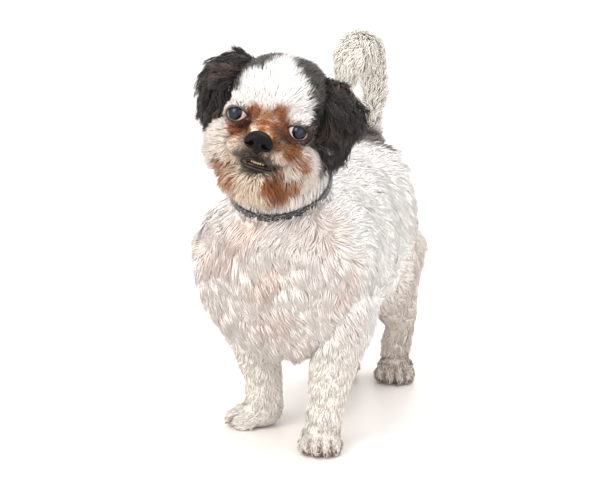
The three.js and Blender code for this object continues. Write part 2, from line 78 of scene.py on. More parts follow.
# The head's own frame: x to the dog's left, y to the nape so that the nose is at -y, z to the crown
HEAD_AT = np.array([12.0, -122.0, 350.0])
HEAD_TURN = math.radians(18.5)
HEAD_TILT = math.radians(-15.5)


def head_axes():
    """The head's left, nape and crown directions, as rows."""
    ahead = Vector((math.sin(HEAD_TURN), -math.cos(HEAD_TURN), 0))
    left = Vector((math.cos(HEAD_TURN), math.sin(HEAD_TURN), 0))
    left.rotate(Matrix.Rotation(HEAD_TILT, 3, ahead))
    return np.array([left, -ahead, left.cross(-ahead)])


HEAD_AXES = head_axes()
EYES = {"eye_left": np.array([31.0, -37.0, 0.0]), "eye_right": np.array([-31.0, -37.0, 0.0])}
EYE_RADIUS = 11.5
LID = 1.8


def from_head(points):
    """Places in the dog's frame, in mm, of places in the head's frame."""
    return HEAD_AT + np.asarray(points, float) @ HEAD_AXES


def to_head(points):
    """Places in the head's frame of places in the dog's frame."""
    return (points - HEAD_AT) @ HEAD_AXES.T


# The solids stand with the middle of their box over the origin, so the dog's own frame is found by one eye
EYE_BOX = np.array(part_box("eye_left"))
SHIFT = EYE_BOX.mean(axis=0) / MM - from_head(EYES["eye_left"])


def placed(points):
    """Metres in the shared frame of millimetres in the dog's own frame."""
    return (np.asarray(points, float) + SHIFT) * MM


def spline(rows, shares):
    """A smooth curve through rows, at shares from 0 to 1."""
    last = len(rows) - 1
    place = np.clip(shares, 0, 1) * last
    first = np.minimum(place.astype(int), last - 1)
    f = (place - first)[:, None]
    ends = np.vstack([2 * rows[0] - rows[1], rows, 2 * rows[-1] - rows[-2]])
    a, b, c, d = (ends[first + k] for k in range(4))
    return 0.5 * (2 * b + (c - a) * f + (2 * a - 5 * b + 4 * c - d) * f**2 + (3 * b - 3 * c + d - a) * f**3)


# How deep the coat lies over the skin
BODY_COAT = 6.5
LIMB_COAT = 4.5
TAIL_COAT = 9
# The share of its length over which a limb's end is rounded off
LEG_END = 0.14
SLIM_END = 0.16
BLUNT_END = 0.2
# The share of its length over which a limb's direction is measured
TANGENT_STEP = 0.004


class Limb:
    """A rounded limb along stations of (x, y, z, half width, half depth), its depth towards front."""

    def __init__(self, stations, front, coat, round_share=LEG_END, on_head=False):
        self.rows = np.array(stations, float)
        self.front = np.array(front, float)
        if on_head:
            self.rows[:, :3] = from_head(self.rows[:, :3])
            self.front = self.front @ HEAD_AXES
        self.coat = coat
        self.round_share = round_share

    def sections(self, shares):
        """Centres, sizes and the side, depth and tangent axes at shares along."""
        rows = spline(self.rows, shares)
        ahead = spline(self.rows, np.minimum(shares + TANGENT_STEP, 1))[:, :3]
        tangent = unit(ahead - spline(self.rows, np.maximum(shares - TANGENT_STEP, 0))[:, :3])
        side = unit(np.cross(self.front, tangent))
        depth = np.cross(tangent, side)
        return rows[:, :3], rows[:, 3:], side, depth, tangent

    def surface(self, shares, angles):
        """Places on the skin, under the coat, at shares along and angles around."""
        centre, size, side, depth, tangent = self.sections(shares)
        half = size - self.coat
        edge = np.minimum(1, np.minimum(shares, 1 - shares) / self.round_share)
        cap = np.sqrt(np.maximum(0, 1 - (1 - edge) ** 2))[:, None]
        end = np.sqrt(1 - cap * cap) * np.where(shares < 0.5, -1, 1)[:, None]
        across = np.cos(angles)[:, None] * half[:, :1] * cap
        deep = np.sin(angles)[:, None] * half[:, 1:] * cap
        return centre + side * across + depth * deep - tangent * end * self.coat


UP = (0, 0, 1)
FORWARD = (0, -1, 0)

LIMBS = {
    "torso": Limb(
        [
            (0, -158, 178, 60, 70),
            (0, -120, 182, 88, 90),
            (0, -65, 186, 98, 99),
            (0, 0, 188, 92, 97),
            (-2, 65, 190, 80, 95),
            (-6, 120, 191, 68, 93),
            (-8, 176, 188, 52, 76),
        ],
        UP,
        round_share=BLUNT_END,
        coat=BODY_COAT,
    ),
    "neck": Limb(
        [(0, -62, 205, 64, 70), (2, -86, 255, 56, 60), (7, -106, 296, 50, 53), (10, -112, 334, 44, 47)],
        FORWARD,
        round_share=BLUNT_END,
        coat=BODY_COAT,
    ),
    "leg_front_left": Limb(
        [
            (62, -72, 190, 30, 42),
            (66, -78, 140, 34, 42),
            (60, -84, 95, 28, 32),
            (56, -92, 55, 22, 24),
            (54, -97, 26, 21, 23),
            (54, -99, 12, 20, 22),
        ],
        FORWARD,
        coat=LIMB_COAT,
    ),
    "leg_front_right": Limb(
        [
            (-60, -56, 190, 30, 42),
            (-62, -58, 140, 36, 42),
            (-48, -58, 95, 29, 32),
            (-37, -60, 55, 22, 24),
            (-34, -62, 26, 21, 23),
            (-35, -62, 12, 20, 22),
        ],
        FORWARD,
        coat=LIMB_COAT,
    ),
    "leg_hind_left": Limb(
        [
            (28, 116, 195, 32, 56),
            (30, 116, 145, 34, 54),
            (27, 134, 102, 26, 36),
            (24, 156, 66, 20, 22),
            (21, 154, 36, 19, 20),
            (20, 150, 14, 19, 20),
        ],
        FORWARD,
        coat=LIMB_COAT,
    ),
    "leg_hind_right": Limb(
        [
            (-44, 88, 195, 34, 56),
            (-50, 88, 145, 36, 54),
            (-48, 104, 102, 28, 36),
            (-38, 128, 66, 20, 22),
            (-34, 124, 36, 18, 19),
            (-32, 118, 14, 19, 20),
        ],
        FORWARD,
        coat=LIMB_COAT,
    ),
    "tail": Limb(
        [
            (-9, 138, 258, 20, 20),
            (-11, 150, 294, 15, 15),
            (-10, 152, 338, 18, 18),
            (-9, 130, 374, 22, 22),
            (-8, 98, 376, 22, 22),
            (-7, 76, 348, 14, 15),
        ],
        (1, 0, 0),
        round_share=SLIM_END,
        coat=TAIL_COAT,
    ),
    "jaw": Limb(
        [(2, -4, -64, 40, 20), (2, -32, -62, 38, 20), (1, -54, -56, 28, 17), (0, -68, -50, 16, 11)],
        UP,
        round_share=BLUNT_END,
        coat=LIMB_COAT,
        on_head=True,
    ),
}
for side_name, out in (("left", 1), ("right", -1)):
    LIMBS["ear_" + side_name] = Limb(
        [
            (out * 28, 10, 42, 17, 8),
            (out * 55, 4, 34, 23, 8),
            (out * 65, 0, 17, 25, 8),
            (out * 61, -4, -6, 20, 7),
            (out * 57, -7, -30, 11, 5),
        ],
        (out * 0.65, -0.7, 0.35),
        round_share=SLIM_END,
        coat=LIMB_COAT,
        on_head=True,
    )

# Each paw's place on the floor and its turn in degrees, and its toes' places across it
PAWS = {
    "front_left": ((54, -103), 25),
    "front_right": ((-42, -68), -58),
    "hind_left": ((25, 142), 22),
    "hind_right": ((-32, 110), -22),
}
TOES = (-16, -5.8, 5.8, 16)
# How much further back a toe stands for each square mm of its place across
TOE_BOW = 0.03
TOE_GAPS = (-10.9, 0, 10.9)
PAW_HALF = (19, 24, 12)
PAW_RISE = 13
PAW_BACK = 2
TOE_HALF = (5.6, 12, 8.5)
TOE_RISE = 9
TOE_AHEAD = 18

# Skull, cheeks, muzzle and brows in the head's frame: centre, half sizes and the depth of coat over each
HEAD_FORMS = [
    ((0, 8, 11), (54, 58, 50), 6),
    ((0, -2, -26), (58, 50, 40), 5),
    ((28, -22, -34), (31, 36, 32), 5),
    ((-28, -22, -34), (31, 36, 32), 5),
    ((0, -52, -8), (17, 22, 13), 3),
    ((14, -56, -24), (18, 17, 13), 3.5),
    ((-14, -56, -24), (18, 17, 13), 3.5),
    ((28, -30, 12), (20, 18, 12), 6),
    ((-28, -30, 12), (20, 18, 12), 6),
]
# The nose's middle, and the mouth's opening with its half sizes
NOSE_AT = np.array([0.0, -70.0, -12.0])
MOUTH_AT = np.array([3.0, -62.0, -36.5])
MOUTH_HALF = np.array([16.0, 12.0, 4.6])


def measure(name, words, size):
    """A length property with its default given in mm."""
    return bpy.props.FloatProperty(name=name, description=words, default=size * MM, unit="LENGTH")


def colour(name, words, code):
    """A colour property with its default given as an sRGB hex code."""
    return bpy.props.FloatVectorProperty(
        name=name, description=words, default=linear(code), subtype="COLOR", size=3, min=0, max=1
    )


class ShihTzuSizes(bpy.types.PropertyGroup):
    skin_grain: measure("Skin grain", "Size of the skin's faces", 2.2)
    body_hair: measure("Body hair", "Length of the coat on the body", 25)
    leg_hair: measure("Leg hair", "Length of the coat on the legs", 15)
    ear_hair: measure("Ear hair", "Length of the locks on the ears", 23)
    tail_hair: measure("Tail hair", "Length of the plume's locks", 28)


class ShihTzuColours(bpy.types.PropertyGroup):
    white: colour("White", "Hair of the brow, neck and back", "FEFCFA")
    chest: colour("Chest", "Slightly pink and dusty hair of the chest", "F8F0EC")
    dusty: colour("Dusty", "Patches of dustier hair on the chest", "E2C6B8")
    haunch: colour("Haunch", "Slightly grey hair of the haunches", "EBE0D6")
    leg: colour("Leg", "Hair of the legs", "F9F3EC")
    # Brownish stain, with painted shade, in the grooves between the toes
    toe: colour("Toe", "Brownish hair between the toes", "93705C")
    croup: colour("Croup", "Grey-brown patch at the root of the tail", "5A4C44")
    tail: colour("Tail", "Hair of the tail", "FFFAF2")
    cream: colour("Cream", "Hair of the muzzle and chin", "EFD8C0")
    cheek: colour("Cheek", "Hair of the cheeks", "FAF0E9")
    stain: colour("Stain", "Tan stain round the eyes and in the beard", "B0692A")
    deep_stain: colour("Deep stain", "Darkest of the tan stain", "6A3814")
    strand: colour("Strand", "Single dark strands on the muzzle and in the stains", "3E2416")
    mouth_hair: colour("Mouth hair", "Dark hair round the mouth", "2B1D19")
    nose_hair: colour("Nose hair", "Brown hair below and beside the nose", "54392F")
    lid_skin_and_shade: colour("Lid hair", "Dark skin and hair at the lids", "1F1412")
    # Dark skin at the lids, with painted shade round the eye
    black: colour("Black", "Hair of the ears and of the patch at the left eye", "1D1715")
    brown: colour("Brown", "Lights in the dark hair", "5B4538")


# Materials


def add_node(tree, kind, links=None, **settings):
    """Adds one node: settings are its properties, or its sockets' values, and links its inputs' sources."""
    node = tree.nodes.new(kind)
    for key, value in settings.items():
        if key in node.bl_rna.properties:
            setattr(node, key, value)
        else:
            node.inputs[key.replace("_", " ")].default_value = value
    for key, source in (links or {}).items():
        tree.links.new(source, node.inputs[key])
    return node


def new_material(name, **values):
    """A material with its shader's own sockets set, and its node tree."""
    material = bpy.data.materials.new(name)
    material.use_nodes = True
    tree = material.node_tree
    shader = tree.nodes["Principled BSDF"]
    for key, value in values.items():
        shader.inputs[key.replace("_", " ")].default_value = value
    return material, tree, shader


def over_object(tree, kind, **settings):
    """Adds a texture laid over the object's own coordinates, in metres."""
    place = add_node(tree, "ShaderNodeTexCoord")
    return add_node(tree, kind, {"Vector": place.outputs["Object"]}, **settings)


def banded(tree, shader, value, *stops):
    """Colours the shader by a value, through a ramp of places and sRGB hex codes."""
    node = add_node(tree, "ShaderNodeValToRGB", {"Fac": value})
    band = node.color_ramp
    while len(band.elements) < len(stops):
        band.elements.new(0.5)
    for element, (place, code) in zip(band.elements, stops):
        element.position = place
        element.color = (*linear(code), 1)
    tree.links.new(node.outputs["Color"], shader.inputs["Base Color"])


def raised(tree, shader, height, depth, **settings):
    """Raises the shader's surface by a height, up to a depth in mm."""
    bump = add_node(tree, "ShaderNodeBump", {"Height": height}, Distance=depth * MM, **settings)
    tree.links.new(bump.outputs["Normal"], shader.inputs["Normal"])


# Hairs are about 0.06 mm thick, too fine to show, so the streaks are drawn further apart
STREAK_APART = 0.5
STREAK_DEPTH = 0.1


def dog_hair(name, roughness):
    """Clean, dry dog hair: soft, scattering, each lock a little lighter or darker along its length, and
    darker at its root by a painted shade carried in its tint.
    """
    material, tree, shader = new_material(
        name, Roughness=roughness, IOR=1.55, Specular_IOR_Level=0.28, Sheen_Weight=0.12, Sheen_Roughness=0.5
    )
    tint = add_node(tree, "ShaderNodeAttribute", attribute_name="tint")
    streak = over_object(tree, "ShaderNodeTexNoise", Scale=1 / (STREAK_APART * MM), Detail=2.0)
    value = add_node(tree, "ShaderNodeMapRange", {"Value": streak.outputs["Fac"]}, To_Min=0.86, To_Max=1.1)
    channels = {key: value.outputs[0] for key in ("Red", "Green", "Blue")}
    grey = add_node(tree, "ShaderNodeCombineColor", channels)
    mixed = add_node(tree, "ShaderNodeMix", data_type="RGBA", blend_type="MULTIPLY")
    factor, tinted, streaked = (mixed.inputs[k] for k in (0, 6, 7))
    factor.default_value = 1
    tree.links.new(tint.outputs["Color"], tinted)
    tree.links.new(grey.outputs["Color"], streaked)
    tree.links.new(mixed.outputs[2], shader.inputs["Base Color"])
    raised(tree, shader, streak.outputs["Fac"], STREAK_DEPTH, Strength=0.25)
    return material


def bumped_material(name, codes, grain, depth, **values):
    """A skin-like material: a colour that varies with a fine noise, and raised cells of a grain in mm."""
    material, tree, shader = new_material(name, **values)
    cells = over_object(tree, "ShaderNodeTexVoronoi", Scale=1 / (grain * MM))
    cloud = over_object(tree, "ShaderNodeTexNoise", Scale=0.3 / (grain * MM))
    banded(tree, shader, cloud.outputs["Fac"], (0.35, codes[0]), (0.65, codes[1]))
    raised(tree, shader, cells.outputs["Distance"], depth, Strength=0.6, invert=True)
    return material


# Markings

# Spots of tan stain in the head's frame: place, size and strength
STAINS = [
    ((-14, -48, 8), 8, 0.9),
    ((-2, -55, 8), 8, 0.75),
    ((-20, -46, -10), 8, 0.95),
    ((-29, -48, -15), 7, 0.85),
    ((8, -49, 11), 8, 0.95),
    ((14, -48, 2), 8, 0.95),
    ((13, -48, 19), 6, 0.5),
    ((26, -47, -12), 8, 0.85),
    ((34, -50, -19), 8, 0.75),
    ((43, -50, -28), 7, 0.5),
    ((15, -56, -12), 8, 0.85),
    ((19, -52, -4), 7, 0.85),
    ((0, -62, 0), 7, 0.6),
    ((-38, -42, -52), 7, 0.8),
    ((-28, -46, -62), 8, 0.95),
    ((-18, -56, -54), 5, 0.7),
    ((-15, -60, -66), 5, 0.6),
    ((22, -58, -58), 7, 0.85),
    ((33, -48, -63), 9, 1.0),
    ((43, -42, -52), 6, 0.8),
    ((25, -60, -44), 5, 0.8),
    ((45, -44, -36), 4, 0.8),
]
# They count less from front to back, as they were placed on the coat and the roots lie deeper
STAIN_REACH = np.array([0.8, 0.3, 0.8])
# The dark hair's edges: heights in the head's frame, and how far out the dark begins on either side
LEFT_EDGE = [
    (-40, 70),
    (-26, 60),
    (-17, 52),
    (-12, 41),
    (-6, 34),
    (9, 33),
    (13, 40),
    (18, 41),
    (28, 37),
    (39, 29),
    (48, 18),
    (58, 2),
    (70, -10),
]
RIGHT_EDGE = [(-34, 30), (20, 34), (34, 30), (46, 21), (56, 12), (64, 5)]

# Where each marking fades in, from the first place to the second, on the body and then in the head's frame
CHEST_AHEAD = (-60, -130)
CHEST_BELOW = (290, 230)
LEG_BELOW = (140, 70)
HAUNCH_BEHIND = (60, 120)
HAUNCH_BELOW = (230, 170)
TAIL_ABOVE = (290, 306)
CROUP_AT = np.array([-6.0, 126.0, 282.0])
CROUP_HALF = np.array([52, 36, 27])
MUZZLE_AHEAD = (-30, -46)
MUZZLE_BELOW = (16, -6)
CHIN_AHEAD = (20, -20)
CHIN_BELOW = (-20, -44)
CHEEK_OUT = (26, 42)
CHEEK_BELOW = (8, -10)
STRANDS_AHEAD = (-26, -42)
STRANDS_BELOW = (4, -10)
NOSE_HAIR_BELOW = (-4, -14)
NAPE_AHEAD = (58, 40)
RIGHT_BEHIND = (-24, -14)
RIGHT_ABOVE = (-34, -20)
MOUTH_HAIR_HALF = np.array([26, 30, 15.5])
NOSE_HAIR_HALF = np.array([22, 24, 17])


def ripple(points, size, seed, count=5):
    """A smooth pseudo-random value, about -1 to 1, that changes over size."""
    draw = np.random.default_rng(seed)
    waves = draw.normal(size=(count, 3)) / size
    phases = draw.uniform(0, 2 * math.pi, count)
    return np.sin(points @ waves.T + phases).sum(axis=1) / math.sqrt(count)


def reach(points, at, half):
    """How far each place is from the middle of an ellipsoid, where 1 is its surface."""
    return np.linalg.norm((points - np.array(at)) / np.array(half), axis=1)


def stained(points):
    """How strongly stained each place in the head's frame is, from 0 to 1."""
    total = np.zeros(len(points))
    for at, size, strength in STAINS:
        apart = np.linalg.norm((points - np.array(at)) * STAIN_REACH, axis=1) / size
        total = np.maximum(total, strength * np.exp(-(apart**2)))
    return total


def mix(base, other, share):
    """Colours drawn towards another by each place's share."""
    return base + (np.array(other) - base) * share[:, None]


def croup_share(points):
    """How near each place is to the tail's root, from 0 to 1."""
    return np.exp(-(reach(points, CROUP_AT, CROUP_HALF) ** 2))


def past_edge(heights, out, edge):
    """How far each place is past one of the dark hair's edges."""
    at, begins = np.array(edge, float).T
    return out - np.interp(heights, at, begins)


def body_tint(tint, points, weights, colours, wander):
    """Adds the chest, haunches, legs, toes, the patch at the tail's root and the tail."""
    y, z = points[:, 1:].T
    body = 1 - weights["on_head"]
    chest = smooth(*CHEST_AHEAD, y) * smooth(*CHEST_BELOW, z)
    tint = mix(tint, colours.chest, body * chest * 0.85)
    patchy = smooth(0.1, 1.1, ripple(points, 16, 21)) * chest
    tint = mix(tint, colours.dusty, body * patchy * 0.5)
    tint = mix(tint, colours.leg, body * smooth(*LEG_BELOW, z))
    haunch = smooth(*HAUNCH_BEHIND, y) * smooth(*HAUNCH_BELOW, z)
    tint = mix(tint, colours.haunch, body * haunch * 0.7)
    # The grooves between the toes: brownish stain with painted shade
    tint = mix(tint, colours.toe, weights["between_toes"])
    croup = smooth(0.35, 0.65, croup_share(points) + 0.05 * wander)
    tint = mix(tint, colours.croup, body * croup * 0.95)
    return mix(tint, colours.tail, weights["tail"] * smooth(*TAIL_ABOVE, z + wander))


def face_tint(tint, head, face, colours, wander):
    """Adds the cream muzzle, the cheeks, the stains and the dark strands and hair round mouth and nose."""
    x, y, z = head.T
    chin = smooth(*CHIN_BELOW, z) * smooth(*CHIN_AHEAD, y)
    muzzle = smooth(*MUZZLE_AHEAD, y) * smooth(*MUZZLE_BELOW, z) + chin
    tint = mix(tint, colours.cream, face * np.clip(muzzle, 0, 1) * 0.9)
    cheek = smooth(*CHEEK_OUT, np.abs(x)) * smooth(*CHEEK_BELOW, z)
    tint = mix(tint, colours.cheek, face * cheek * 0.85)
    near = stained(head + 0.9 * wander[:, None] * np.array([1, 0, 0.6]))
    tint = mix(tint, colours.stain, face * smooth(0.12, 0.62, near))
    tint = mix(tint, colours.deep_stain, face * smooth(0.62, 0.95, near + 0.08 * wander) * 0.55)
    strands = smooth(0.5, 1.2, ripple(head, 1.4, 41) + 0.5 * near)
    strands *= smooth(0.3, 0.7, near + 0.45 * smooth(*STRANDS_AHEAD, y) * smooth(*STRANDS_BELOW, z))
    tint = mix(tint, colours.strand, face * strands * 0.8)
    lips = smooth(1.12, 0.72, reach(head, MOUTH_AT, MOUTH_HAIR_HALF) + 0.05 * wander)
    tint = mix(tint, colours.mouth_hair, face * lips * 0.92)
    beside = smooth(1.15, 0.8, reach(head, NOSE_AT, NOSE_HAIR_HALF) + 0.06 * wander)
    return mix(tint, colours.nose_hair, face * beside * smooth(*NOSE_HAIR_BELOW, z) * 0.6)


def dark_share(head, weights, wander):
    """How dark each place is: the ears, the left side of the face and the skull behind the right ear."""
    x, y, z = head.T
    left = smooth(-2.0, 2.5, past_edge(z, x + 0.9 * wander, LEFT_EDGE))
    right = smooth(-3, 3, past_edge(z, wander - x, RIGHT_EDGE))
    right *= smooth(*RIGHT_BEHIND, y + 0.6 * wander) * smooth(*RIGHT_ABOVE, z)
    dark = np.maximum(left, right) * smooth(*NAPE_AHEAD, y + 2 * wander) * weights["on_head"]
    return np.maximum(dark, weights["ear"])


def markings(points, weights, colours):
    """The coat's colour at places in the dog's frame, with each body part's weight there."""
    head = to_head(points)
    face = weights["on_head"]
    wander = ripple(head, 3.5, 11) * 2.2 + ripple(head, 9, 12) * 1.6
    tint = np.tile(np.array(colours.white), (len(points), 1))
    tint = body_tint(tint, points, weights, colours, wander)
    tint = face_tint(tint, head, face, colours, wander)
    lights = smooth(0.3, 1.4, ripple(head, 5, 31) + 0.5 * ripple(head, 1.6, 32))
    pelt = mix(np.tile(np.array(colours.black), (len(points), 1)), colours.brown, lights * 0.75)
    tint = mix(tint, pelt, dark_share(head, weights, wander))
    for at in EYES.values():
        ring = np.linalg.norm(head - at, axis=1) - EYE_RADIUS
        below = 0.25 + 0.5 * smooth(4, -6, head[:, 2] - at[2])
        tint = mix(tint, colours.deep_stain, face * smooth(8, 4, ring + 0.6 * wander) * below)
        # A thin dark ring at the lids: their dark skin, with painted shade where the lids meet the eye
        tint = mix(tint, colours.lid_skin_and_shade, face * smooth(3.4, 1.6, ring) * 0.85)
    return np.clip(tint, 0, 1)


# Which body part a place belongs to, and how the hair lies there

PARTS = list(LIMBS) + ["head"]
SECTIONS = 26
# How sharply one part's weight gives way to the next part's
SHARPNESS = 9
PAW_REACH = (34, 26)
PAW_BELOW = (27, 20)
GAP_HALF = (2.6, 0.7)
GAP_AHEAD = (10, 20)


def closeness(points):
    """How far each place is from each part's middle, where 1 is that part's own surface, and the tangents."""
    measures = np.empty((len(points), len(PARTS)))
    tangents = {}
    shares = np.linspace(0.02, 0.98, SECTIONS)
    for column, name in enumerate(PARTS):
        if name == "head":
            head = to_head(points)
            measures[:, column] = np.min([reach(head, at, half) for at, half, _ in HEAD_FORMS], axis=0)
            continue
        centre, size, side, depth, tangent = LIMBS[name].sections(shares)
        best = np.full(len(points), np.inf)
        chosen = np.zeros(len(points), int)
        for k in range(SECTIONS):
            offset = points - centre[k]
            squared = (offset @ side[k] / size[k, 0]) ** 2 + (offset @ depth[k] / size[k, 1]) ** 2
            squared += (offset @ tangent[k] / size[k].mean()) ** 2
            closer = squared < best
            best[closer] = squared[closer]
            chosen[closer] = k
        measures[:, column] = np.sqrt(best)
        tangents[name] = tangent[chosen]
    return measures, tangents


def paw_frames():
    """Each paw's place and its forward and sideways directions."""
    for (x, y), turn in PAWS.values():
        angle = math.radians(turn)
        ahead = np.array([math.sin(angle), -math.cos(angle), 0])
        side = np.array([math.cos(angle), math.sin(angle), 0])
        yield np.array([x, y, 0.0]), ahead, side


def part_weights(points, measures):
    """Soft weights of each part and of a few named areas."""
    sharp = np.exp(-SHARPNESS * (measures - measures.min(axis=1, keepdims=True)))
    share = sharp / sharp.sum(axis=1, keepdims=True)
    weights = {name: share[:, k] for k, name in enumerate(PARTS)}
    weights["ear"] = weights["ear_left"] + weights["ear_right"]
    weights["on_head"] = np.clip(weights["head"] + weights["jaw"] + weights["ear"], 0, 1)
    gaps = np.zeros(len(points))
    paw = np.zeros(len(points))
    for at, ahead, side in paw_frames():
        across = (points - at) @ side
        forward = (points - at) @ ahead
        close = smooth(*PAW_REACH, np.hypot(across, forward - 4)) * smooth(*PAW_BELOW, points[:, 2])
        paw = np.maximum(paw, close)
        # The grooves between the toes, darkened by brownish stain and painted shade
        groove = np.min([np.abs(across - gap) for gap in TOE_GAPS], axis=0)
        gaps = np.maximum(gaps, smooth(*GAP_HALF, groove) * smooth(*GAP_AHEAD, forward) * close * 0.7)
    weights["paw"] = paw
    weights["between_toes"] = gaps
    return weights


def towards(x, y, z):
    """Directions from their parts, each one number or one for each place."""
    return np.stack(np.broadcast_arrays(x, y, z), axis=1)


def head_flow(head):
    """The lie of the hair on the head: out from the nose, up the brow, over the crown, down the cheeks."""
    x, _, z = head.T
    flow = unit(head - (NOSE_AT + np.array([0, 8, 4])))
    fall = smooth(-18, -44, z)[:, None]
    flow = unit(flow + fall * towards(0.15 * np.sign(x), 0, -1))
    crown = smooth(34, 56, z)[:, None]
    flow = unit(flow + crown * towards(x / 60, 0.9, 0))
    for at in EYES.values():
        near = smooth(EYE_RADIUS + 9, EYE_RADIUS + 2, np.linalg.norm(head - at, axis=1))[:, None]
        flow = unit(flow * (1 - 0.85 * near) + unit(head - at) * near)
    off = head - MOUTH_AT
    near = smooth(2.0, 1.0, reach(head, MOUTH_AT, MOUTH_HALF))[:, None]
    outward = unit(towards(off[:, 0] * 1.4 + np.sign(x), 0, off[:, 2] * 0.9))
    outward[:, 2] = np.minimum(outward[:, 2], 0.1)
    return unit(flow * (1 - near) + outward * near)


def coat_flow(points, weights, tangents):
    """The direction in which the hair lies at each place."""
    x, y, z = points.T
    chest = smooth(-70, -125, y)[:, None]
    back = towards(0, 1, -0.1 - 0.75 * smooth(30, 90, np.abs(x)))
    down = towards(0.35 * x / 90, 0, -1)
    rump = smooth(120, 170, y)[:, None]
    torso = back * (1 - chest) + down * chest
    torso = unit(torso * (1 - rump) + np.array([0, 0.25, -1]) * rump)
    nape = smooth(-100, -60, y)[:, None]
    neck = unit(down * (1 - nape) + np.array([0, 1, -0.8]) * nape)
    leg = unit(np.array([0, 0.12, -1]))
    flow = torso * weights["torso"][:, None] + neck * weights["neck"][:, None]
    for name in PARTS:
        if name.startswith("leg"):
            flow += leg * weights[name][:, None]
    flow += (head_flow(to_head(points)) @ HEAD_AXES) * (weights["head"] + weights["jaw"])[:, None]
    flow += tangents["tail"] * (2 * weights["tail"])[:, None]
    for name, way in (("ear_left", 1), ("ear_right", -1)):
        lie = unit(tangents[name] + 0.25 * way * HEAD_AXES[0] + 0.1 * HEAD_AXES[1])
        flow += lie * (2 * weights[name])[:, None]
    for at, ahead, side in paw_frames():
        offset = points - at
        close = (smooth(40, 26, np.hypot(offset @ side, offset @ ahead - 4)) * smooth(30, 20, z))[:, None]
        flow = flow * (1 - close) + unit(ahead + np.array([0, 0, -0.55])) * close
    return unit(flow)


# Modelling

BALL_SIDES = 32
BALL_RINGS = 20
LIMB_SIDES = 40
LIMB_RINGS = 28
RING_TUBE = 0.25


def clear_selection():
    bpy.ops.object.select_all(action="DESELECT")


def only(piece):
    """Selects one piece alone and makes it the active one."""
    clear_selection()
    piece.select_set(True)
    bpy.context.view_layer.objects.active = piece


def gathered(items, key, width, kind=np.float32):
    """One value of every item of a mesh, as rows."""
    flat = np.empty(len(items) * width, kind)
    items.foreach_get(key, flat)
    return flat.reshape(-1, width)


def coordinates(mesh):
    """The places of a mesh's vertices, in metres."""
    return gathered(mesh.vertices, "co", 3, np.float64)


def set_coordinates(mesh, points):
    """Moves a mesh's vertices to places in the dog's frame."""
    mesh.vertices.foreach_set("co", placed(points).ravel())
    mesh.update()


def add_sphere(segments, rings):
    """A ball primitive of radius 1, and its vertices' places."""
    bpy.ops.mesh.primitive_uv_sphere_add(segments=segments, ring_count=rings, radius=1)
    piece = bpy.context.object
    return piece, coordinates(piece.data)


def add_limb(name, limb):
    """A ball drawn out along a limb's stations, inside its coat."""
    piece, ball = add_sphere(LIMB_SIDES, LIMB_RINGS)
    piece.name = name
    shares = np.arccos(np.clip(-ball[:, 2], -1, 1)) / math.pi
    angles = np.arctan2(ball[:, 1], ball[:, 0])
    set_coordinates(piece.data, limb.surface(shares, angles))
    return piece


def add_ball(at, half, axes=HEAD_AXES, segments=BALL_SIDES, rings=BALL_RINGS, turn=0):
    """An ellipsoid at a place in the dog's frame, along axes given as rows, turned about its second axis."""
    piece, ball = add_sphere(segments, rings)
    turned = np.array(Euler((0, math.radians(turn), 0)).to_matrix())
    set_coordinates(piece.data, ball * np.array(half) @ turned.T @ axes + np.array(at))
    return piece


def add_head_ball(at, half, **more):
    """An ellipsoid at a place in the head's frame."""
    return add_ball(from_head(at), half, **more)


def add_ring(name, segments, sides):
    """A ring primitive, with each vertex's angle round it and its places out and up across its section."""
    bpy.ops.mesh.primitive_torus_add(
        major_segments=segments, minor_segments=sides, major_radius=1, minor_radius=RING_TUBE
    )
    piece = bpy.context.object
    piece.name = name
    ring = coordinates(piece.data)
    out = (np.hypot(ring[:, 0], ring[:, 1]) - 1) / RING_TUBE
    return piece, np.arctan2(ring[:, 1], ring[:, 0]), out, ring[:, 2] / RING_TUBE


def join(pieces, name):
    """Joins pieces into the first one and names it."""
    clear_selection()
    for piece in pieces:
        piece.select_set(True)
    bpy.context.view_layer.objects.active = pieces[0]
    bpy.ops.object.join()
    pieces[0].name = name
    return pieces[0]


def apply_modifier(piece, name, kind, **settings):
    """Adds one modifier with its settings and applies it."""
    only(piece)
    modifier = piece.modifiers.new(name, kind)
    for key, value in settings.items():
        setattr(modifier, key, value)
    bpy.ops.object.modifier_apply(modifier=modifier.name)


def cut(piece, tool):
    """Cuts one piece out of another and removes the tool."""
    apply_modifier(piece, "Cut", "BOOLEAN", operation="DIFFERENCE", object=tool, solver="EXACT")
    bpy.data.objects.remove(tool)


def in_edit_mode(piece, step, **settings):
    """Runs one of the mesh operators on all of a piece's faces."""
    only(piece)
    bpy.ops.object.mode_set(mode="EDIT")
    bpy.ops.mesh.select_all(action="SELECT")
    step(**settings)
    bpy.ops.object.mode_set(mode="OBJECT")


def outward(piece):
    """Turns every face of a piece outwards."""
    in_edit_mode(piece, bpy.ops.mesh.normals_make_consistent, inside=False)


def set_tint(mesh, tints):
    """Writes each vertex's colour."""
    layer = mesh.color_attributes.new("tint", "FLOAT_COLOR", "POINT")
    layer.data.foreach_set("color", np.column_stack([tints, np.ones(len(tints))]).astype(np.float32).ravel())


def ride(piece, material, replaced=()):
    """Smooths and dresses a finished piece, hangs it on the root, and hides the solids that it stands for."""
    piece.data.materials.append(material)
    only(piece)
    bpy.ops.object.shade_smooth()
    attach(piece, "root")
    if replaced:
        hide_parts(*replaced)


# Lids

# The lids' opening in half sizes, the lean of its outer corner and the drawn-out inner corner
LID_HALF = (9.6, 7.4)
LID_LEAN = math.radians(-9)
INNER_CORNER = 0.16
LOWER_LID = 0.92
FLAT_CORNERS = 0.12
# How far the plug that opens the lids reaches out of the eye and into it, and how much it flares
PLUG_REACH = (12.0, -5.0)
PLUG_FLARE = (1.35, 0.9)
PLUG_SIDES = 40


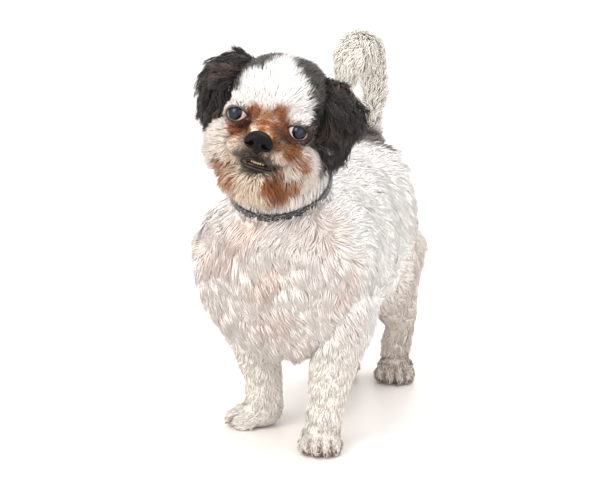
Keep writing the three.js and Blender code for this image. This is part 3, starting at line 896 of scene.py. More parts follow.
def lid_axes(at):
    """The way an eye's opening faces, its way to the outer corner and its way up, in the head's frame."""
    out = math.copysign(1, at[0])
    facing = unit(np.array([out * 0.10, -1, 0.06]))
    level = unit(np.cross(facing, UP)) * -out
    up = np.cross(level, facing) * -out
    c, s = math.cos(LID_LEAN), math.sin(LID_LEAN)
    return facing, level * c + up * s, up * c - level * s


def lid_points(at, around, radius, grow=0.0):
    """Points on the eye's ball along the almond edge of its lids, in the head's frame."""
    facing, across, up = lid_axes(at)
    wide, tall = LID_HALF
    c, s = np.cos(around), np.sin(around)
    flat = (wide + grow) * (1 + INNER_CORNER * np.maximum(0, -c) ** 8) * c
    rise = (tall + grow) * s * np.where(s > 0, 1.0, LOWER_LID) * (1 - FLAT_CORNERS * c * c)
    tangent = flat[:, None] * across + rise[:, None] * up
    depth = np.sqrt(np.maximum(radius**2 - (tangent**2).sum(axis=1), 4))
    return at + tangent + depth[:, None] * facing


def almond(at):
    """A plug with the almond shape of the lids' opening, that reaches out of the eye."""
    edge = lid_points(at, np.linspace(0, 2 * math.pi, PLUG_SIDES, endpoint=False), EYE_RADIUS)
    bpy.ops.mesh.primitive_cylinder_add(vertices=PLUG_SIDES, radius=1, depth=2)
    piece = bpy.context.object
    shape = coordinates(piece.data)
    turn = np.arctan2(shape[:, 1], shape[:, 0])
    order = np.round(turn / (2 * math.pi) * PLUG_SIDES).astype(int) % PLUG_SIDES
    outer = shape[:, 2:] > 0
    middle = edge.mean(axis=0)
    spread = (edge[order] - middle) * np.where(outer, *PLUG_FLARE)
    set_coordinates(piece.data, from_head(middle + spread + lid_axes(at)[0] * np.where(outer, *PLUG_REACH)))
    outward(piece)
    return piece


# Skin

SOCKET_GAP = 0.15
# The skin under the hair is a little darker and warmer than the hair
SKIN_SHADE = np.array([0.96, 0.92, 0.90])
FLESH_WORDS = ("torso", "neck", "leg", "thigh", "shank", "paw", "tail", "head", "jaw", "ear")


def add_paws():
    """Each paw's pad and toes as balls."""
    for at, ahead, side in paw_frames():
        axes = np.array([side, -ahead, UP])
        yield add_ball(at + np.array([0, 0, PAW_RISE]) - ahead * PAW_BACK, PAW_HALF, axes)
        for toe in TOES:
            forward = TOE_AHEAD - toe * toe * TOE_BOW
            yield add_ball(at + side * toe + ahead * forward + np.array([0, 0, TOE_RISE]), TOE_HALF, axes)


class SHIHTZU_OT_skin(bpy.types.Operator):
    """Models the whole dog's skin as one closed form, inside the coat's depth"""

    bl_idname = "shihtzu.skin"
    bl_label = "Skin"

    def execute(self, context):
        sizes = context.scene.shihtzu_sizes
        clear_selection()
        parts = [add_limb(name, limb) for name, limb in LIMBS.items()]
        parts += [add_head_ball(at, np.array(half) - coat) for at, half, coat in HEAD_FORMS]
        parts += [add_head_ball(at, (EYE_RADIUS + LID,) * 3) for at in EYES.values()]
        parts += add_paws()
        skin = join(parts, "skin")
        apply_modifier(skin, "One skin", "REMESH", mode="VOXEL", voxel_size=sizes.skin_grain)
        apply_modifier(skin, "Soften", "SMOOTH", factor=0.5, iterations=3)
        for at in EYES.values():
            cut(skin, add_head_ball(at, (EYE_RADIUS + SOCKET_GAP,) * 3, segments=40, rings=24))
            cut(skin, almond(at))
        cut(skin, add_head_ball(MOUTH_AT, MOUTH_HALF))
        in_edit_mode(skin, bpy.ops.uv.smart_project, angle_limit=math.radians(66), island_margin=0.002)
        points = coordinates(skin.data) / MM - SHIFT
        measures, _ = closeness(points)
        tint = markings(points, part_weights(points, measures), context.scene.shihtzu_colours)
        set_tint(skin.data, tint * SKIN_SHADE)
        flesh = [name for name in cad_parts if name.split("_")[0] in FLESH_WORDS]
        ride(skin, dog_hair("Undercoat on skin", 0.75), flesh)
        return {"FINISHED"}


# Coat

# The rings of three points along a lock: their shares of its length and of its width
RING_SHARES = {2: (0.0, 0.5), 3: (0.0, 0.4, 0.75)}
RING_WIDTHS = {2: (0.75, 1.0), 3: (0.7, 1.0, 0.7)}
# How deep a lock's root sits in the skin, and the lowest that its hair hangs over the floor
SINK = 0.8
LOWEST_HAIR = 0.4
# The size in the skin's unwrap of the patch that one lock takes
UNWRAP_PATCH = 0.003
# The share of a lock's length at which the markings are read, as its root lies hidden under others
SEEN_SHARE = 0.6
# How far apart the clipper's layers lie, how much they slant and how much they wander
LAYER_APART = 13
LAYER_SLANT = 0.6
LAYER_WANDER = 1.6
# Where the trunk's coat is parted into its fore and hind pieces
TRUNK_MIDDLE = -20
# How much more the hair is lifted at the tail's root
CROUP_LIFT = 1.4
FIRST_SEED = 101

# The hair's lengths where they aren't among the sizes
PAW_HAIR = 9
CROWN_HAIR = 15
FACE_HAIR = 9
BEARD_HAIR = 20
SHORTEST_HAIR = 3.4


class Fleece:
    """How one area of the coat is grown: how dense, how long and how it lies."""

    def __init__(self, name, spacing, width, lift, **more):
        self.name = name
        self.spacing = spacing
        self.width = width
        self.lift = lift
        self.rings = more.get("rings", 2)
        self.flat = more.get("flat", 0.4)
        self.clump = more.get("clump", 10)
        self.pull = more.get("pull", 0.35)
        self.wave = more.get("wave", 0.06)
        self.swirl = more.get("swirl", (0.2, 14))
        self.stray = more.get("stray", 0.2)
        self.fall = more.get("fall", 0.0)
        # shade: how dark a lock's root is painted, a painted shade deep in the coat that lifts to the full
        # tint at the tip
        self.shade = more.get("shade", 0.97)
        self.tone = more.get("tone", 0.04)
        self.layered = more.get("layered", 0.0)
        self.quartered = more.get("quartered", False)
        self.dark = more.get("dark", False)


LEG_FLEECE = dict(clump=26, pull=0.55, swirl=(0.5, 15), stray=0.26, layered=0.2)
# The ears' locks are painted in deep shade at their roots
EAR_FLEECE = dict(rings=3, shade=0.5, tone=0.34, dark=True)
FLEECES = [
    Fleece("torso", 1.75, 1.6, 15, clump=40, pull=0.6, swirl=(0.5, 22), layered=0.28, quartered=True),
    Fleece("neck", 1.6, 1.4, 24, clump=34, pull=0.6, swirl=(0.45, 20), fall=0.1),
    Fleece("leg_front", 1.65, 1.4, 20, **LEG_FLEECE),
    Fleece("leg_hind", 1.65, 1.4, 20, **LEG_FLEECE),
    Fleece("paw", 1.45, 1.2, 28, clump=12, pull=0.5, shade=0.9),
    Fleece(
        "tail", 1.5, 1.5, 32, rings=3, clump=16, pull=0.5, wave=0.14, swirl=(0.35, 14), stray=0.25, fall=0.14
    ),
    Fleece("crown", 1.2, 1.2, 23, flat=0.35, clump=12, swirl=(0.16, 10), stray=0.16),
    Fleece("face", 0.95, 0.85, 29, clump=12, pull=0.5, swirl=(0.26, 7), stray=0.26, shade=0.8, tone=0.1),
    Fleece(
        "beard", 1.15, 1.05, 28,
        clump=14, pull=0.55, swirl=(0.32, 9), stray=0.26, fall=0.12, shade=0.8, tone=0.1,
    ),
    Fleece(
        "ear_left", 1.1, 1.0, 37,
        clump=30, pull=0.75, wave=0.24, swirl=(0.6, 12), stray=0.34, fall=0.12, **EAR_FLEECE,
    ),
    Fleece(
        "ear_right", 1.1, 0.95, 35,
        clump=26, pull=0.7, wave=0.16, swirl=(0.5, 11), stray=0.32, fall=0.04, **EAR_FLEECE,
    ),
]


def area_names(points, measures, weights):
    """The name of the fleece that each place belongs to."""
    head = to_head(points)
    names = np.array(PARTS)[measures.argmin(axis=1)].astype("U12")
    on_head = (names == "head") | (names == "jaw")
    for leg in ("leg_front", "leg_hind"):
        names[np.char.startswith(names, leg)] = leg
    names[on_head] = "crown"
    names[on_head & (head[:, 1] < -28) & (head[:, 2] < 22)] = "face"
    names[on_head & (head[:, 2] < -40)] = "beard"
    names[weights["paw"] > 0.5] = "paw"
    return names


def crown_hair(points, sizes):
    """Short on the brow, longer over the top and in the dark hair on the left."""
    x, y, z = to_head(points).T
    dark = smooth(-4, 6, past_edge(z, x, LEFT_EDGE)) * smooth(52, 20, y)
    return CROWN_HAIR + 4 * smooth(20, 50, z) - 4 * smooth(-30, -45, y) + 7 * dark


def face_hair(points, sizes):
    """Longer on the cheeks, and short round the eyes and the nose."""
    head = to_head(points)
    apart = np.minimum(*[np.linalg.norm(head - at, axis=1) for at in EYES.values()])
    near_eye = smooth(EYE_RADIUS + 10, EYE_RADIUS + 1.5, apart)
    near_nose = smooth(26, 12, np.linalg.norm(head - NOSE_AT, axis=1))
    base = FACE_HAIR + 7 * smooth(22, 42, np.abs(head[:, 0])) + 4 * smooth(-22, -38, head[:, 2])
    return np.maximum(base * (1 - 0.6 * near_eye) * (1 - 0.45 * near_nose), SHORTEST_HAIR)


def beard_hair(points, sizes):
    """Long, and shorter at the lips."""
    near_lip = smooth(1.8, 1.0, reach(to_head(points), MOUTH_AT, (20, 16, 9)))
    return BEARD_HAIR * (1 - 0.55 * near_lip)


def ear_hair(points, sizes):
    """Short where the ear leaves the head."""
    return sizes.ear_hair / MM * (1 - 0.45 * smooth(34, 50, to_head(points)[:, 2]))


def leg_hair(points, sizes):
    """Longer above the elbow and the knee."""
    return sizes.leg_hair / MM * (1 + 0.45 * smooth(70, 150, points[:, 2]))


# Each area's length of hair at places in the dog's frame, in mm
HAIR_LENGTHS = {
    "torso": lambda points, sizes: (
        sizes.body_hair / MM * (1 + 0.2 * smooth(-90, -130, points[:, 1]) + 0.35 * croup_share(points))
    ),
    "neck": lambda points, sizes: np.full(len(points), sizes.body_hair / MM),
    "leg_front": leg_hair,
    "leg_hind": leg_hair,
    "paw": lambda points, sizes: PAW_HAIR + 3 * smooth(12, 24, points[:, 2]),
    "tail": lambda points, sizes: sizes.tail_hair / MM * (0.65 + 0.35 * smooth(285, 320, points[:, 2])),
    "crown": crown_hair,
    "face": face_hair,
    "beard": beard_hair,
    "ear_left": lambda points, sizes: 1.2 * ear_hair(points, sizes),
    "ear_right": ear_hair,
}


def quarters(points):
    """Names and masks of the trunk's four quarters, for coats too large for one piece."""
    for side, left in (("_right", points[:, 0] < 0), ("_left", points[:, 0] >= 0)):
        for end, ahead in (("_fore", points[:, 1] < TRUNK_MIDDLE), ("_hind", points[:, 1] >= TRUNK_MIDDLE)):
            yield side + end, left & ahead


def layers(points, strength):
    """How much the hair is lifted where the clipper left one layer over the next."""
    along = points[:, 1] - LAYER_SLANT * points[:, 2]
    turn = 2 * math.pi * along / LAYER_APART + LAYER_WANDER * ripple(points, 22, 70)
    return 1 + strength * np.sin(turn)


# The places that stay free of hair: the gap round the lids' opening, the nose, the lips and the soles
LID_MARGIN = 1.0
BARE_NOSE_HALF = (14, 12, 11.5)
BARE_LIPS = np.array([1.5, 6, 1.2])
BARE_SOLES = 2.2


def bare(points):
    """Whether a place stays free of hair."""
    head = to_head(points)
    free = points[:, 2] < BARE_SOLES
    wide, tall = (half + LID_MARGIN for half in LID_HALF)
    for at in EYES.values():
        facing, across, up = lid_axes(at)
        offset = head - at
        inside = (offset @ across / wide) ** 2 + (offset @ up / tall) ** 2 < 1
        free |= inside & (offset @ facing > 0)
    free |= reach(head, NOSE_AT, BARE_NOSE_HALF) < 1
    free |= reach(head, MOUTH_AT, MOUTH_HALF + BARE_LIPS) < 1
    return free


class SkinSurface:
    """The skin's triangles and all that the coat needs to know of them, in mm in the dog's frame."""

    def __init__(self, skin):
        mesh = skin.data
        mesh.calc_loop_triangles()
        self.corners = gathered(mesh.loop_triangles, "vertices", 3, np.int32)
        loops = gathered(mesh.loop_triangles, "loops", 3, np.int32)
        self.unwrap = gathered(mesh.uv_layers.active.data, "uv", 2)[loops]
        self.normals = gathered(mesh.vertex_normals, "vector", 3)
        self.vertices = coordinates(mesh) / MM - SHIFT
        measures, tangents = closeness(self.vertices)
        self.weights = part_weights(self.vertices, measures)
        self.flow = coat_flow(self.vertices, self.weights, tangents)
        triangles = self.vertices[self.corners]
        sides = triangles[:, 1:] - triangles[:, :1]
        self.areas = np.linalg.norm(np.cross(sides[:, 0], sides[:, 1]), axis=1) / 2
        self.middles = triangles.mean(axis=1)
        face_weights = {key: value[self.corners].mean(axis=1) for key, value in self.weights.items()}
        self.names = area_names(self.middles, measures[self.corners].mean(axis=1), face_weights)
        self.free = bare(self.middles)

    def at(self, picks, share, values):
        """The values of vertices at places inside picked triangles."""
        weight = share if values.ndim == 1 else share[:, :, None]
        return (values[self.corners[picks]] * weight).sum(axis=1)


def scatter(areas, spacing, draw):
    """Evenly spread picks of triangles, one to each square of spacing, with places inside them."""
    expected = np.cumsum(areas / spacing**2)
    picks = np.searchsorted(expected, np.arange(int(expected[-1])) + draw.uniform())
    picks = np.minimum(picks, len(areas) - 1)
    a, b = draw.uniform(size=(2, len(picks)))
    over = a + b > 1
    a[over], b[over] = 1 - a[over], 1 - b[over]
    return picks, np.column_stack([1 - a - b, a, b])


def clumped(roots, tips, size, pull, draw):
    """How far each tip is drawn towards the tip of the lock that leads its clump."""
    leaders = draw.permutation(len(roots))[: max(1, int(len(roots) / size))]
    tree = KDTree(len(leaders))
    for place, index in enumerate(leaders):
        tree.insert(roots[index], place)
    tree.balance()
    chosen = leaders[[tree.find(root)[1] for root in roots]]
    return (tips[chosen] - tips + (roots - roots[chosen]) * 0.25) * pull


def lock_points(fleece, roots, normals, flow, look, draw):
    """Each lock's points, ring after ring from its root to its tip."""
    along = unit(flow - normals * (flow * normals).sum(axis=1, keepdims=True))
    sway = draw.normal(0, fleece.stray, len(roots))[:, None]
    along = unit(along + np.cross(normals, along) * sway)
    sideways = np.cross(normals, along)
    length, width, lift, phase = (look[key][:, None] for key in ("length", "width", "lift", "phase"))

    def centre(share):
        rise = np.sin(lift) * (share - 0.55 * share**2)
        wave = fleece.wave * np.sin(2 * math.pi * (share * 0.8 + phase)) * share
        path = along * share * np.cos(lift) + normals * rise + sideways * wave
        sag = np.array([0, 0, -1]) * fleece.fall * share**2
        return roots + length * (path + sag) - normals * SINK * (1 - share)

    tips = centre(1.0)
    drawn = clumped(roots, tips, fleece.clump, fleece.pull, draw)
    levels = []
    for share, wide in zip(RING_SHARES[fleece.rings], RING_WIDTHS[fleece.rings]):
        middle = centre(share) + drawn * share**1.6
        half = width * wide / 2
        levels += [middle + sideways * half, middle + normals * half * fleece.flat, middle - sideways * half]
    points = np.stack([*levels, tips + drawn], axis=1)
    points[:, :, 2] = np.maximum(points[:, :, 2], LOWEST_HAIR)
    return points


def lock_faces(rings):
    """The corners of one lock's triangles: its root, its sides from ring to ring and its point."""
    faces = [(0, 2, 1)]
    for ring in range(rings - 1):
        for k in range(3):
            a, b = ring * 3 + k, ring * 3 + (k + 1) % 3
            faces += [(a, b, b + 3), (a, b + 3, a + 3)]
    top = (rings - 1) * 3
    return np.array(faces + [(top + k, top + (k + 1) % 3, top + 3) for k in range(3)])


def triangle_mesh(name, points, triangles):
    """A mesh of triangles between places in the dog's frame."""
    mesh = bpy.data.meshes.new(name)
    mesh.vertices.add(len(points))
    mesh.loops.add(triangles.size)
    mesh.loops.foreach_set("vertex_index", triangles.ravel().astype(np.int32))
    mesh.polygons.add(len(triangles))
    mesh.polygons.foreach_set("loop_start", np.arange(0, triangles.size, 3, dtype=np.int32))
    mesh.polygons.foreach_set("loop_total", np.full(len(triangles), 3, dtype=np.int32))
    set_coordinates(mesh, points)
    return mesh


def tuft_piece(name, fleece, points, places, look):
    """One piece of many closed tapered locks, each coloured and unwrapped where its root is on the skin."""
    count, each = points.shape[:2]
    triangles = (np.arange(count)[:, None, None] * each + lock_faces(fleece.rings)).reshape(-1, 3)
    mesh = triangle_mesh(name, points.reshape(-1, 3), triangles)
    level = np.append(np.repeat(RING_SHARES[fleece.rings], 3), 1.0)
    across = np.append(np.tile([0.0, 0.5, 1.0], fleece.rings), 0.5)
    spots = places[:, None, :] + UNWRAP_PATCH * (np.column_stack([across, level]) - 0.5)
    layer = mesh.uv_layers.new(name="OFBake")
    layer.data.foreach_set("uv", spots.reshape(-1, 2)[triangles.ravel()].astype(np.float32).ravel())
    # Painted shade: each lock is darkened towards its root, deep in the coat, up to its full tint at its tip
    tone = fleece.shade + (1 - fleece.shade) * level**0.8
    tints = look["tint"][:, None, :] * tone[None, :, None] * look["tone"][:, None, None]
    set_tint(mesh, np.clip(tints.reshape(-1, 3), 0, 1))
    piece = bpy.data.objects.new(name, mesh)
    bpy.context.collection.objects.link(piece)
    return piece


def grow(surface, fleece, name, inside, draw, scene):
    """Grows one piece of the coat from the part of the skin that is inside a mask."""
    step = 1
    index = np.nonzero((surface.names == fleece.name) & ~surface.free & inside)[0]
    picks, share = scatter(surface.areas[index], fleece.spacing * step, draw)
    picks = index[picks]
    roots = surface.at(picks, share, surface.vertices)
    normals = unit(surface.at(picks, share, surface.normals))
    weights = {key: surface.at(picks, share, value) for key, value in surface.weights.items()}
    strength, size = fleece.swirl
    tousle = np.stack([ripple(roots, size, 50 + k) for k in range(3)], axis=1)
    flow = unit(unit(surface.at(picks, share, surface.flow)) + strength * tousle)
    count = len(roots)
    length = HAIR_LENGTHS[fleece.name](roots, scene.shihtzu_sizes)
    seen = roots + flow * (SEEN_SHARE * length)[:, None] + draw.normal(0, 0.7, (count, 3))
    lift = fleece.lift * draw.uniform(0.6, 1.4, count) * layers(roots, fleece.layered)
    look = {
        "length": length * draw.uniform(0.7, 1.2, count),
        "width": fleece.width * draw.uniform(0.75, 1.25, count) * step,
        "lift": np.radians(lift * (1 + CROUP_LIFT * croup_share(roots))),
        "phase": 0.5 * ripple(roots, 9, 60) + draw.normal(0, 0.08, count),
        "tint": markings(seen, weights, scene.shihtzu_colours),
        "tone": 1 + draw.normal(0, fleece.tone, count),
    }
    points = lock_points(fleece, roots, normals, flow, look, draw)
    return tuft_piece(name, fleece, points, (surface.unwrap[picks] * share[:, :, None]).sum(axis=1), look)


class SHIHTZU_OT_coat(bpy.types.Operator):
    """Grows the coat as tapered locks that follow the lie of the hair"""

    bl_idname = "shihtzu.coat"
    bl_label = "Coat"

    def execute(self, context):
        surface = SkinSurface(bpy.data.objects["skin"])
        light_hair = dog_hair("Clipped white dog hair", 0.62)
        dark_hair = dog_hair("Dark dog hair", 0.42)
        everywhere = np.ones(len(surface.areas), bool)
        seeds = itertools.count(FIRST_SEED)
        for fleece in FLEECES:
            for suffix, inside in quarters(surface.middles) if fleece.quartered else [("", everywhere)]:
                draw = np.random.default_rng(next(seeds))
                piece = grow(surface, fleece, "coat_" + fleece.name + suffix, inside, draw, context.scene)
                if fleece.dark:
                    ride(piece, dark_hair)
                else:
                    ride(piece, light_hair)
        return {"FINISHED"}


# Eyes

# The eyes look at the camera, but for these angles outwards and downwards
CAMERA_AT = np.array([931.8, -1835.2, 729.0])
GAZE_OUT = {"eye_left": math.radians(4), "eye_right": math.radians(-19)}
GAZE_DOWN = math.radians(2)
# The cornea's bulge over the ball and its half angle
CORNEA_BULGE = 0.8
CORNEA_ANGLE = math.radians(36)
RIM_THICK = 0.8
RIM_OUT = 0.7
# The eye's colours by the share of a right angle from the gaze: cloud, iris, its dark edge and the white
EYE_BANDS = (
    (0.0, "313A55"),
    (0.10, "20273E"),
    (0.20, "131725"),
    (0.33, "0C0E19"),
    (0.385, "07070A"),
    (0.42, "221614"),
    (0.46, "D9C3BC"),
    (0.62, "D2AFA6"),
    (0.85, "9C6A60"),
)


def gaze(name):
    """The direction in which an eye looks, in the head's frame."""
    aim = Vector(unit(to_head(CAMERA_AT) - EYES[name]))
    aim.rotate(Matrix.Rotation(GAZE_OUT[name], 3, "Z"))
    aim.z -= math.sin(GAZE_DOWN)
    return np.array(aim.normalized())


def eye_material():
    """A wet cornea over a dark iris with a blue-grey cloud of age, in a faintly pink white."""
    material, tree, shader = new_material(
        "Wet eye", Roughness=0.15, IOR=1.38, Specular_IOR_Level=0.15, Coat_Weight=0.45, Coat_Roughness=0.03
    )
    spread = add_node(tree, "ShaderNodeAttribute", attribute_name="off_gaze")
    fibres = over_object(tree, "ShaderNodeTexNoise", Scale=700.0, Detail=3.0)
    shifted = add_node(tree, "ShaderNodeMath", {0: fibres.outputs["Fac"]}, operation="MULTIPLY_ADD")
    shifted.inputs[1].default_value = 0.10
    shifted.inputs[2].default_value = -0.05
    parts = {0: spread.outputs["Fac"], 1: shifted.outputs[0]}
    total = add_node(tree, "ShaderNodeMath", parts, operation="ADD")
    banded(tree, shader, total.outputs[0], *EYE_BANDS)
    return material


def add_eyeball(name, at):
    """An eye with its bulging cornea, and each vertex's angle from the gaze as a share of a right angle."""
    eye = add_head_ball(at, (EYE_RADIUS,) * 3, segments=72, rings=48)
    eye.name = name.replace("eye", "eyeball")
    ways = unit(to_head(coordinates(eye.data) / MM - SHIFT) - at)
    angle = np.arccos(np.clip(ways @ gaze(name), -1, 1))
    bulge = CORNEA_BULGE * np.maximum(0, 1 - (angle / CORNEA_ANGLE) ** 2)
    set_coordinates(eye.data, from_head(at + ways * (EYE_RADIUS + bulge)[:, None]))
    layer = eye.data.attributes.new("off_gaze", "FLOAT", "POINT")
    layer.data.foreach_set("value", (angle / math.radians(90)).astype(np.float32))
    return eye


def add_rim(name, at):
    """A moist rim along the lids' edge, thicker at the inner corner."""
    piece, around, out, height = add_ring(name, 64, 12)
    radius = EYE_RADIUS + RIM_OUT
    edge = lid_points(at, around, radius)
    facing = unit(edge - at)
    wider = unit(lid_points(at, around, radius, 1) - edge)
    inner = np.where(np.cos(around) < -0.9, 1.35, 1)[:, None]
    section = wider * out[:, None] + facing * height[:, None] * 0.8
    set_coordinates(piece.data, from_head(edge + RIM_THICK * inner * section))
    outward(piece)
    return piece


class SHIHTZU_OT_eyes(bpy.types.Operator):
    """Models the eyes with their bulging corneas, and the dark moist rims of the lids"""

    bl_idname = "shihtzu.eyes"
    bl_label = "Eyes"

    def execute(self, context):
        clear_selection()
        wet = eye_material()
        margin = bumped_material(
            "Dark lid margin",
            ("0D0909", "1A1211"),
            0.7,
            0.12,
            Roughness=0.3,
            IOR=1.42,
            Coat_Weight=0.5,
            Coat_Roughness=0.15,
        )
        for name, at in EYES.items():
            ride(add_eyeball(name, at), wet, [name])
            ride(add_rim(name.replace("eye", "lid_rim"), at), margin)
        return {"FINISHED"}


# Nose

NOSE_GRAIN = 0.7 * MM
NOSE_FORMS = [
    ((0, -70, -10), (12, 9, 7.5)),
    ((7.5, -71, -14), (7, 7.5, 6.8)),
    ((-7.5, -71, -14), (7, 7.5, 6.8)),
    ((0, -71, -18), (4.8, 6, 7.5)),
    ((0, -62, -12), (10, 10, 9)),
]
# The round of each nostril and the slit at its side: place, half sizes and turn in degrees
NOSTRIL_CUTS = [
    ((6.4, -79.5, -14.5), (3.1, 6, 2.7), 35),
    ((10.2, -76.5, -15.8), (3.6, 3.0, 1.1), 12),
]
GROOVE_AT = (0, -78.6, -19)
GROOVE_HALF = (0.55, 2.2, 8)


class SHIHTZU_OT_nose(bpy.types.Operator):
    """Models the short broad nose with its nostrils and its groove"""

    bl_idname = "shihtzu.nose"
    bl_label = "Nose"

    def execute(self, context):
        clear_selection()
        nose = join([add_head_ball(at, half) for at, half in NOSE_FORMS], "nose_pad")
        apply_modifier(nose, "One form", "REMESH", mode="VOXEL", voxel_size=NOSE_GRAIN)
        apply_modifier(nose, "Soften", "SMOOTH", factor=0.5, iterations=8)
        for out in (1, -1):
            for (x, y, z), half, turn in NOSTRIL_CUTS:
                cut(nose, add_head_ball((out * x, y, z), half, turn=out * turn))
        cut(nose, add_head_ball(GROOVE_AT, GROOVE_HALF))
        apply_modifier(nose, "Round the cuts", "SMOOTH", factor=0.4, iterations=2)
        leather = bumped_material(
            "Moist nose leather",
            ("060505", "0D0B0B"),
            0.85,
            0.3,
            Roughness=0.5,
            IOR=1.4,
            Specular_IOR_Level=0.18,
            Coat_Weight=0.06,
            Coat_Roughness=0.3,
        )
        ride(nose, leather, ["nose"])
        return {"FINISHED"}


# Mouth

UPPER_LIP = 0.9
LOWER_LIP = 1.3
# How far the lips' line stands forward of the opening, sags to its corners, rises, and dips in the middle
LIP_AHEAD = 6.5
LIP_SAG = 2.4
LIP_RISE = 1.2
LIP_BOW = 1.8
BOW_HALF = 0.35
GUM_AT = (3, -62, -38)
GUM_HALF = (11, 5, 2.6)
TOOTH_PLACES = (-5.6, -3.2, -1.1, 1.1, 3.2, 5.6)
TOOTH_AT = np.array([3, -64.5, -35.2])
TOOTH_HALF = (0.95, 0.7, 1.2)
TOOTH_EDGE = 0.5
TOOTH_TAPER = 0.85
# How much further back a tooth stands for each square mm of its place across, and how their heights vary
TOOTH_BOW = 0.05
TOOTH_UNEVEN = 0.25


def add_lips():
    """A ring along the lips' line, thinner above, with a dip in the middle of the upper lip."""
    lips, around, out, height = add_ring("lips", 56, 14)
    wide, _, tall = MOUTH_HALF
    c, s = np.cos(around), np.sin(around)
    above = s > 0
    bow = np.where(above, LIP_BOW * np.exp(-((c / BOW_HALF) ** 2)), 0)
    middle = towards(c * wide, LIP_AHEAD * (c**2 - 1), s * tall - LIP_SAG * c**2 - bow + LIP_RISE)
    section = towards(c * out, -height, s * out)
    thick = np.where(above, UPPER_LIP, LOWER_LIP)[:, None]
    set_coordinates(lips.data, from_head(MOUTH_AT + middle + section * thick))
    outward(lips)
    return lips


def add_tooth(across):
    """One small incisor, a little narrower at its edge."""
    bpy.ops.mesh.primitive_cube_add(size=2)
    tooth = bpy.context.object
    half = np.array(TOOTH_HALF) + np.array([0, 0, TOOTH_UNEVEN * math.cos(across * 1.7)])
    shape = coordinates(tooth.data) * half
    shape[:, 0] *= np.where(shape[:, 2] > 0, TOOTH_TAPER, 1)
    at = TOOTH_AT + np.array([across, across * across * TOOTH_BOW, 0])
    set_coordinates(tooth.data, from_head(shape + at))
    apply_modifier(tooth, "Round", "BEVEL", width=TOOTH_EDGE * MM, segments=3)
    return tooth


class SHIHTZU_OT_mouth(bpy.types.Operator):
    """Models the dark lips, the gum and the small lower teeth"""

    bl_idname = "shihtzu.mouth"
    bl_label = "Mouth"

    def execute(self, context):
        clear_selection()
        dark_skin = bumped_material(
            "Dark lip skin",
            ("120C0B", "211614"),
            1.1,
            0.3,
            Roughness=0.45,
            IOR=1.42,
            Coat_Weight=0.3,
            Coat_Roughness=0.25,
        )
        ride(add_lips(), dark_skin)
        gum = add_head_ball(GUM_AT, GUM_HALF)
        gum.name = "lower_gum"
        wet_gum = bumped_material(
            "Wet gum",
            ("2C1515", "43211F"),
            1.5,
            0.2,
            Roughness=0.3,
            IOR=1.4,
            Coat_Weight=0.3,
            Coat_Roughness=0.1,
        )
        ride(gum, wet_gum)
        row = join([add_tooth(across) for across in TOOTH_PLACES], "lower_incisors")
        enamel = bumped_material("Ivory enamel", ("B9A27C", "D3C3A2"), 2.0, 0.05, Roughness=0.22, IOR=1.62)
        ride(row, enamel, [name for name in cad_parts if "teeth" in name])
        return {"FINISHED"}


# Claws

CLAW_LENGTH = 6.5
CLAW_DROP = 3.0
CLAW_ROOT = 1.8
CLAW_TIP = 0.5
CLAW_DEPTH = 1.2
CLAW_AHEAD = 27.5
CLAW_RISE = 6.8
CLAW_SPREAD = 1.04
# The length of the cone that is drawn out into a claw
CONE_LENGTH = 9


class SHIHTZU_OT_claws(bpy.types.Operator):
    """Models one claw and copies it to every toe"""

    bl_idname = "shihtzu.claws"
    bl_label = "Claws"

    def execute(self, context):
        clear_selection()
        bpy.ops.mesh.primitive_cone_add(vertices=14, radius1=CLAW_ROOT, radius2=CLAW_TIP, depth=CONE_LENGTH)
        claw = bpy.context.object
        apply_modifier(claw, "Lengths", "SUBSURF", levels=2, render_levels=2)
        shape = coordinates(claw.data)
        along = shape[:, 2] / CONE_LENGTH + 0.5
        bent = towards(shape[:, 0], -along * CLAW_LENGTH, shape[:, 1] * CLAW_DEPTH - CLAW_DROP * along**2)
        made = []
        for at, ahead, side in paw_frames():
            axes = np.array([side, -ahead, UP])
            for toe in TOES:
                copy = bpy.data.objects.new("claw", claw.data.copy())
                context.collection.objects.link(copy)
                forward = CLAW_AHEAD - toe * toe * TOE_BOW
                root = at + side * toe * CLAW_SPREAD + ahead * forward + np.array([0, 0, CLAW_RISE])
                set_coordinates(copy.data, bent @ axes + root)
                made.append(copy)
        bpy.data.objects.remove(claw)
        claws = join(made, "claws")
        outward(claws)
        horn = bumped_material("Claw horn", ("2B211D", "5B4A41"), 0.5, 0.08, Roughness=0.35, IOR=1.54)
        ride(claws, horn)
        return {"FINISHED"}


# Collar

COLLAR_SHARE = 0.5
COLLAR_WIDE = 9
COLLAR_THICK = 2.0
# How deep the strap lies in the neck's coat
COLLAR_SINK = 2.6
# How square the strap's section is drawn from a round one
COLLAR_SQUARE = 0.75


def webbing():
    """Woven strap: threads 0.8 mm apart, with a mottled print of grey specks a few mm across."""
    material, tree, shader = new_material("Woven nylon webbing", Roughness=0.6, IOR=1.53, Sheen_Weight=0.2)
    woven = add_node(tree, "ShaderNodeUVMap", uv_map="weave")
    threads = add_node(tree, "ShaderNodeTexChecker", {"Vector": woven.outputs["UV"]}, Scale=1.25)
    specks = add_node(tree, "ShaderNodeTexNoise", {"Vector": woven.outputs["UV"]}, Scale=0.55, Detail=4.0)
    banded(tree, shader, specks.outputs["Fac"], (0.46, "0F1112"), (0.54, "2E3233"), (0.62, "8B908E"))
    raised(tree, shader, threads.outputs["Fac"], 0.2, Strength=0.5)
    return material


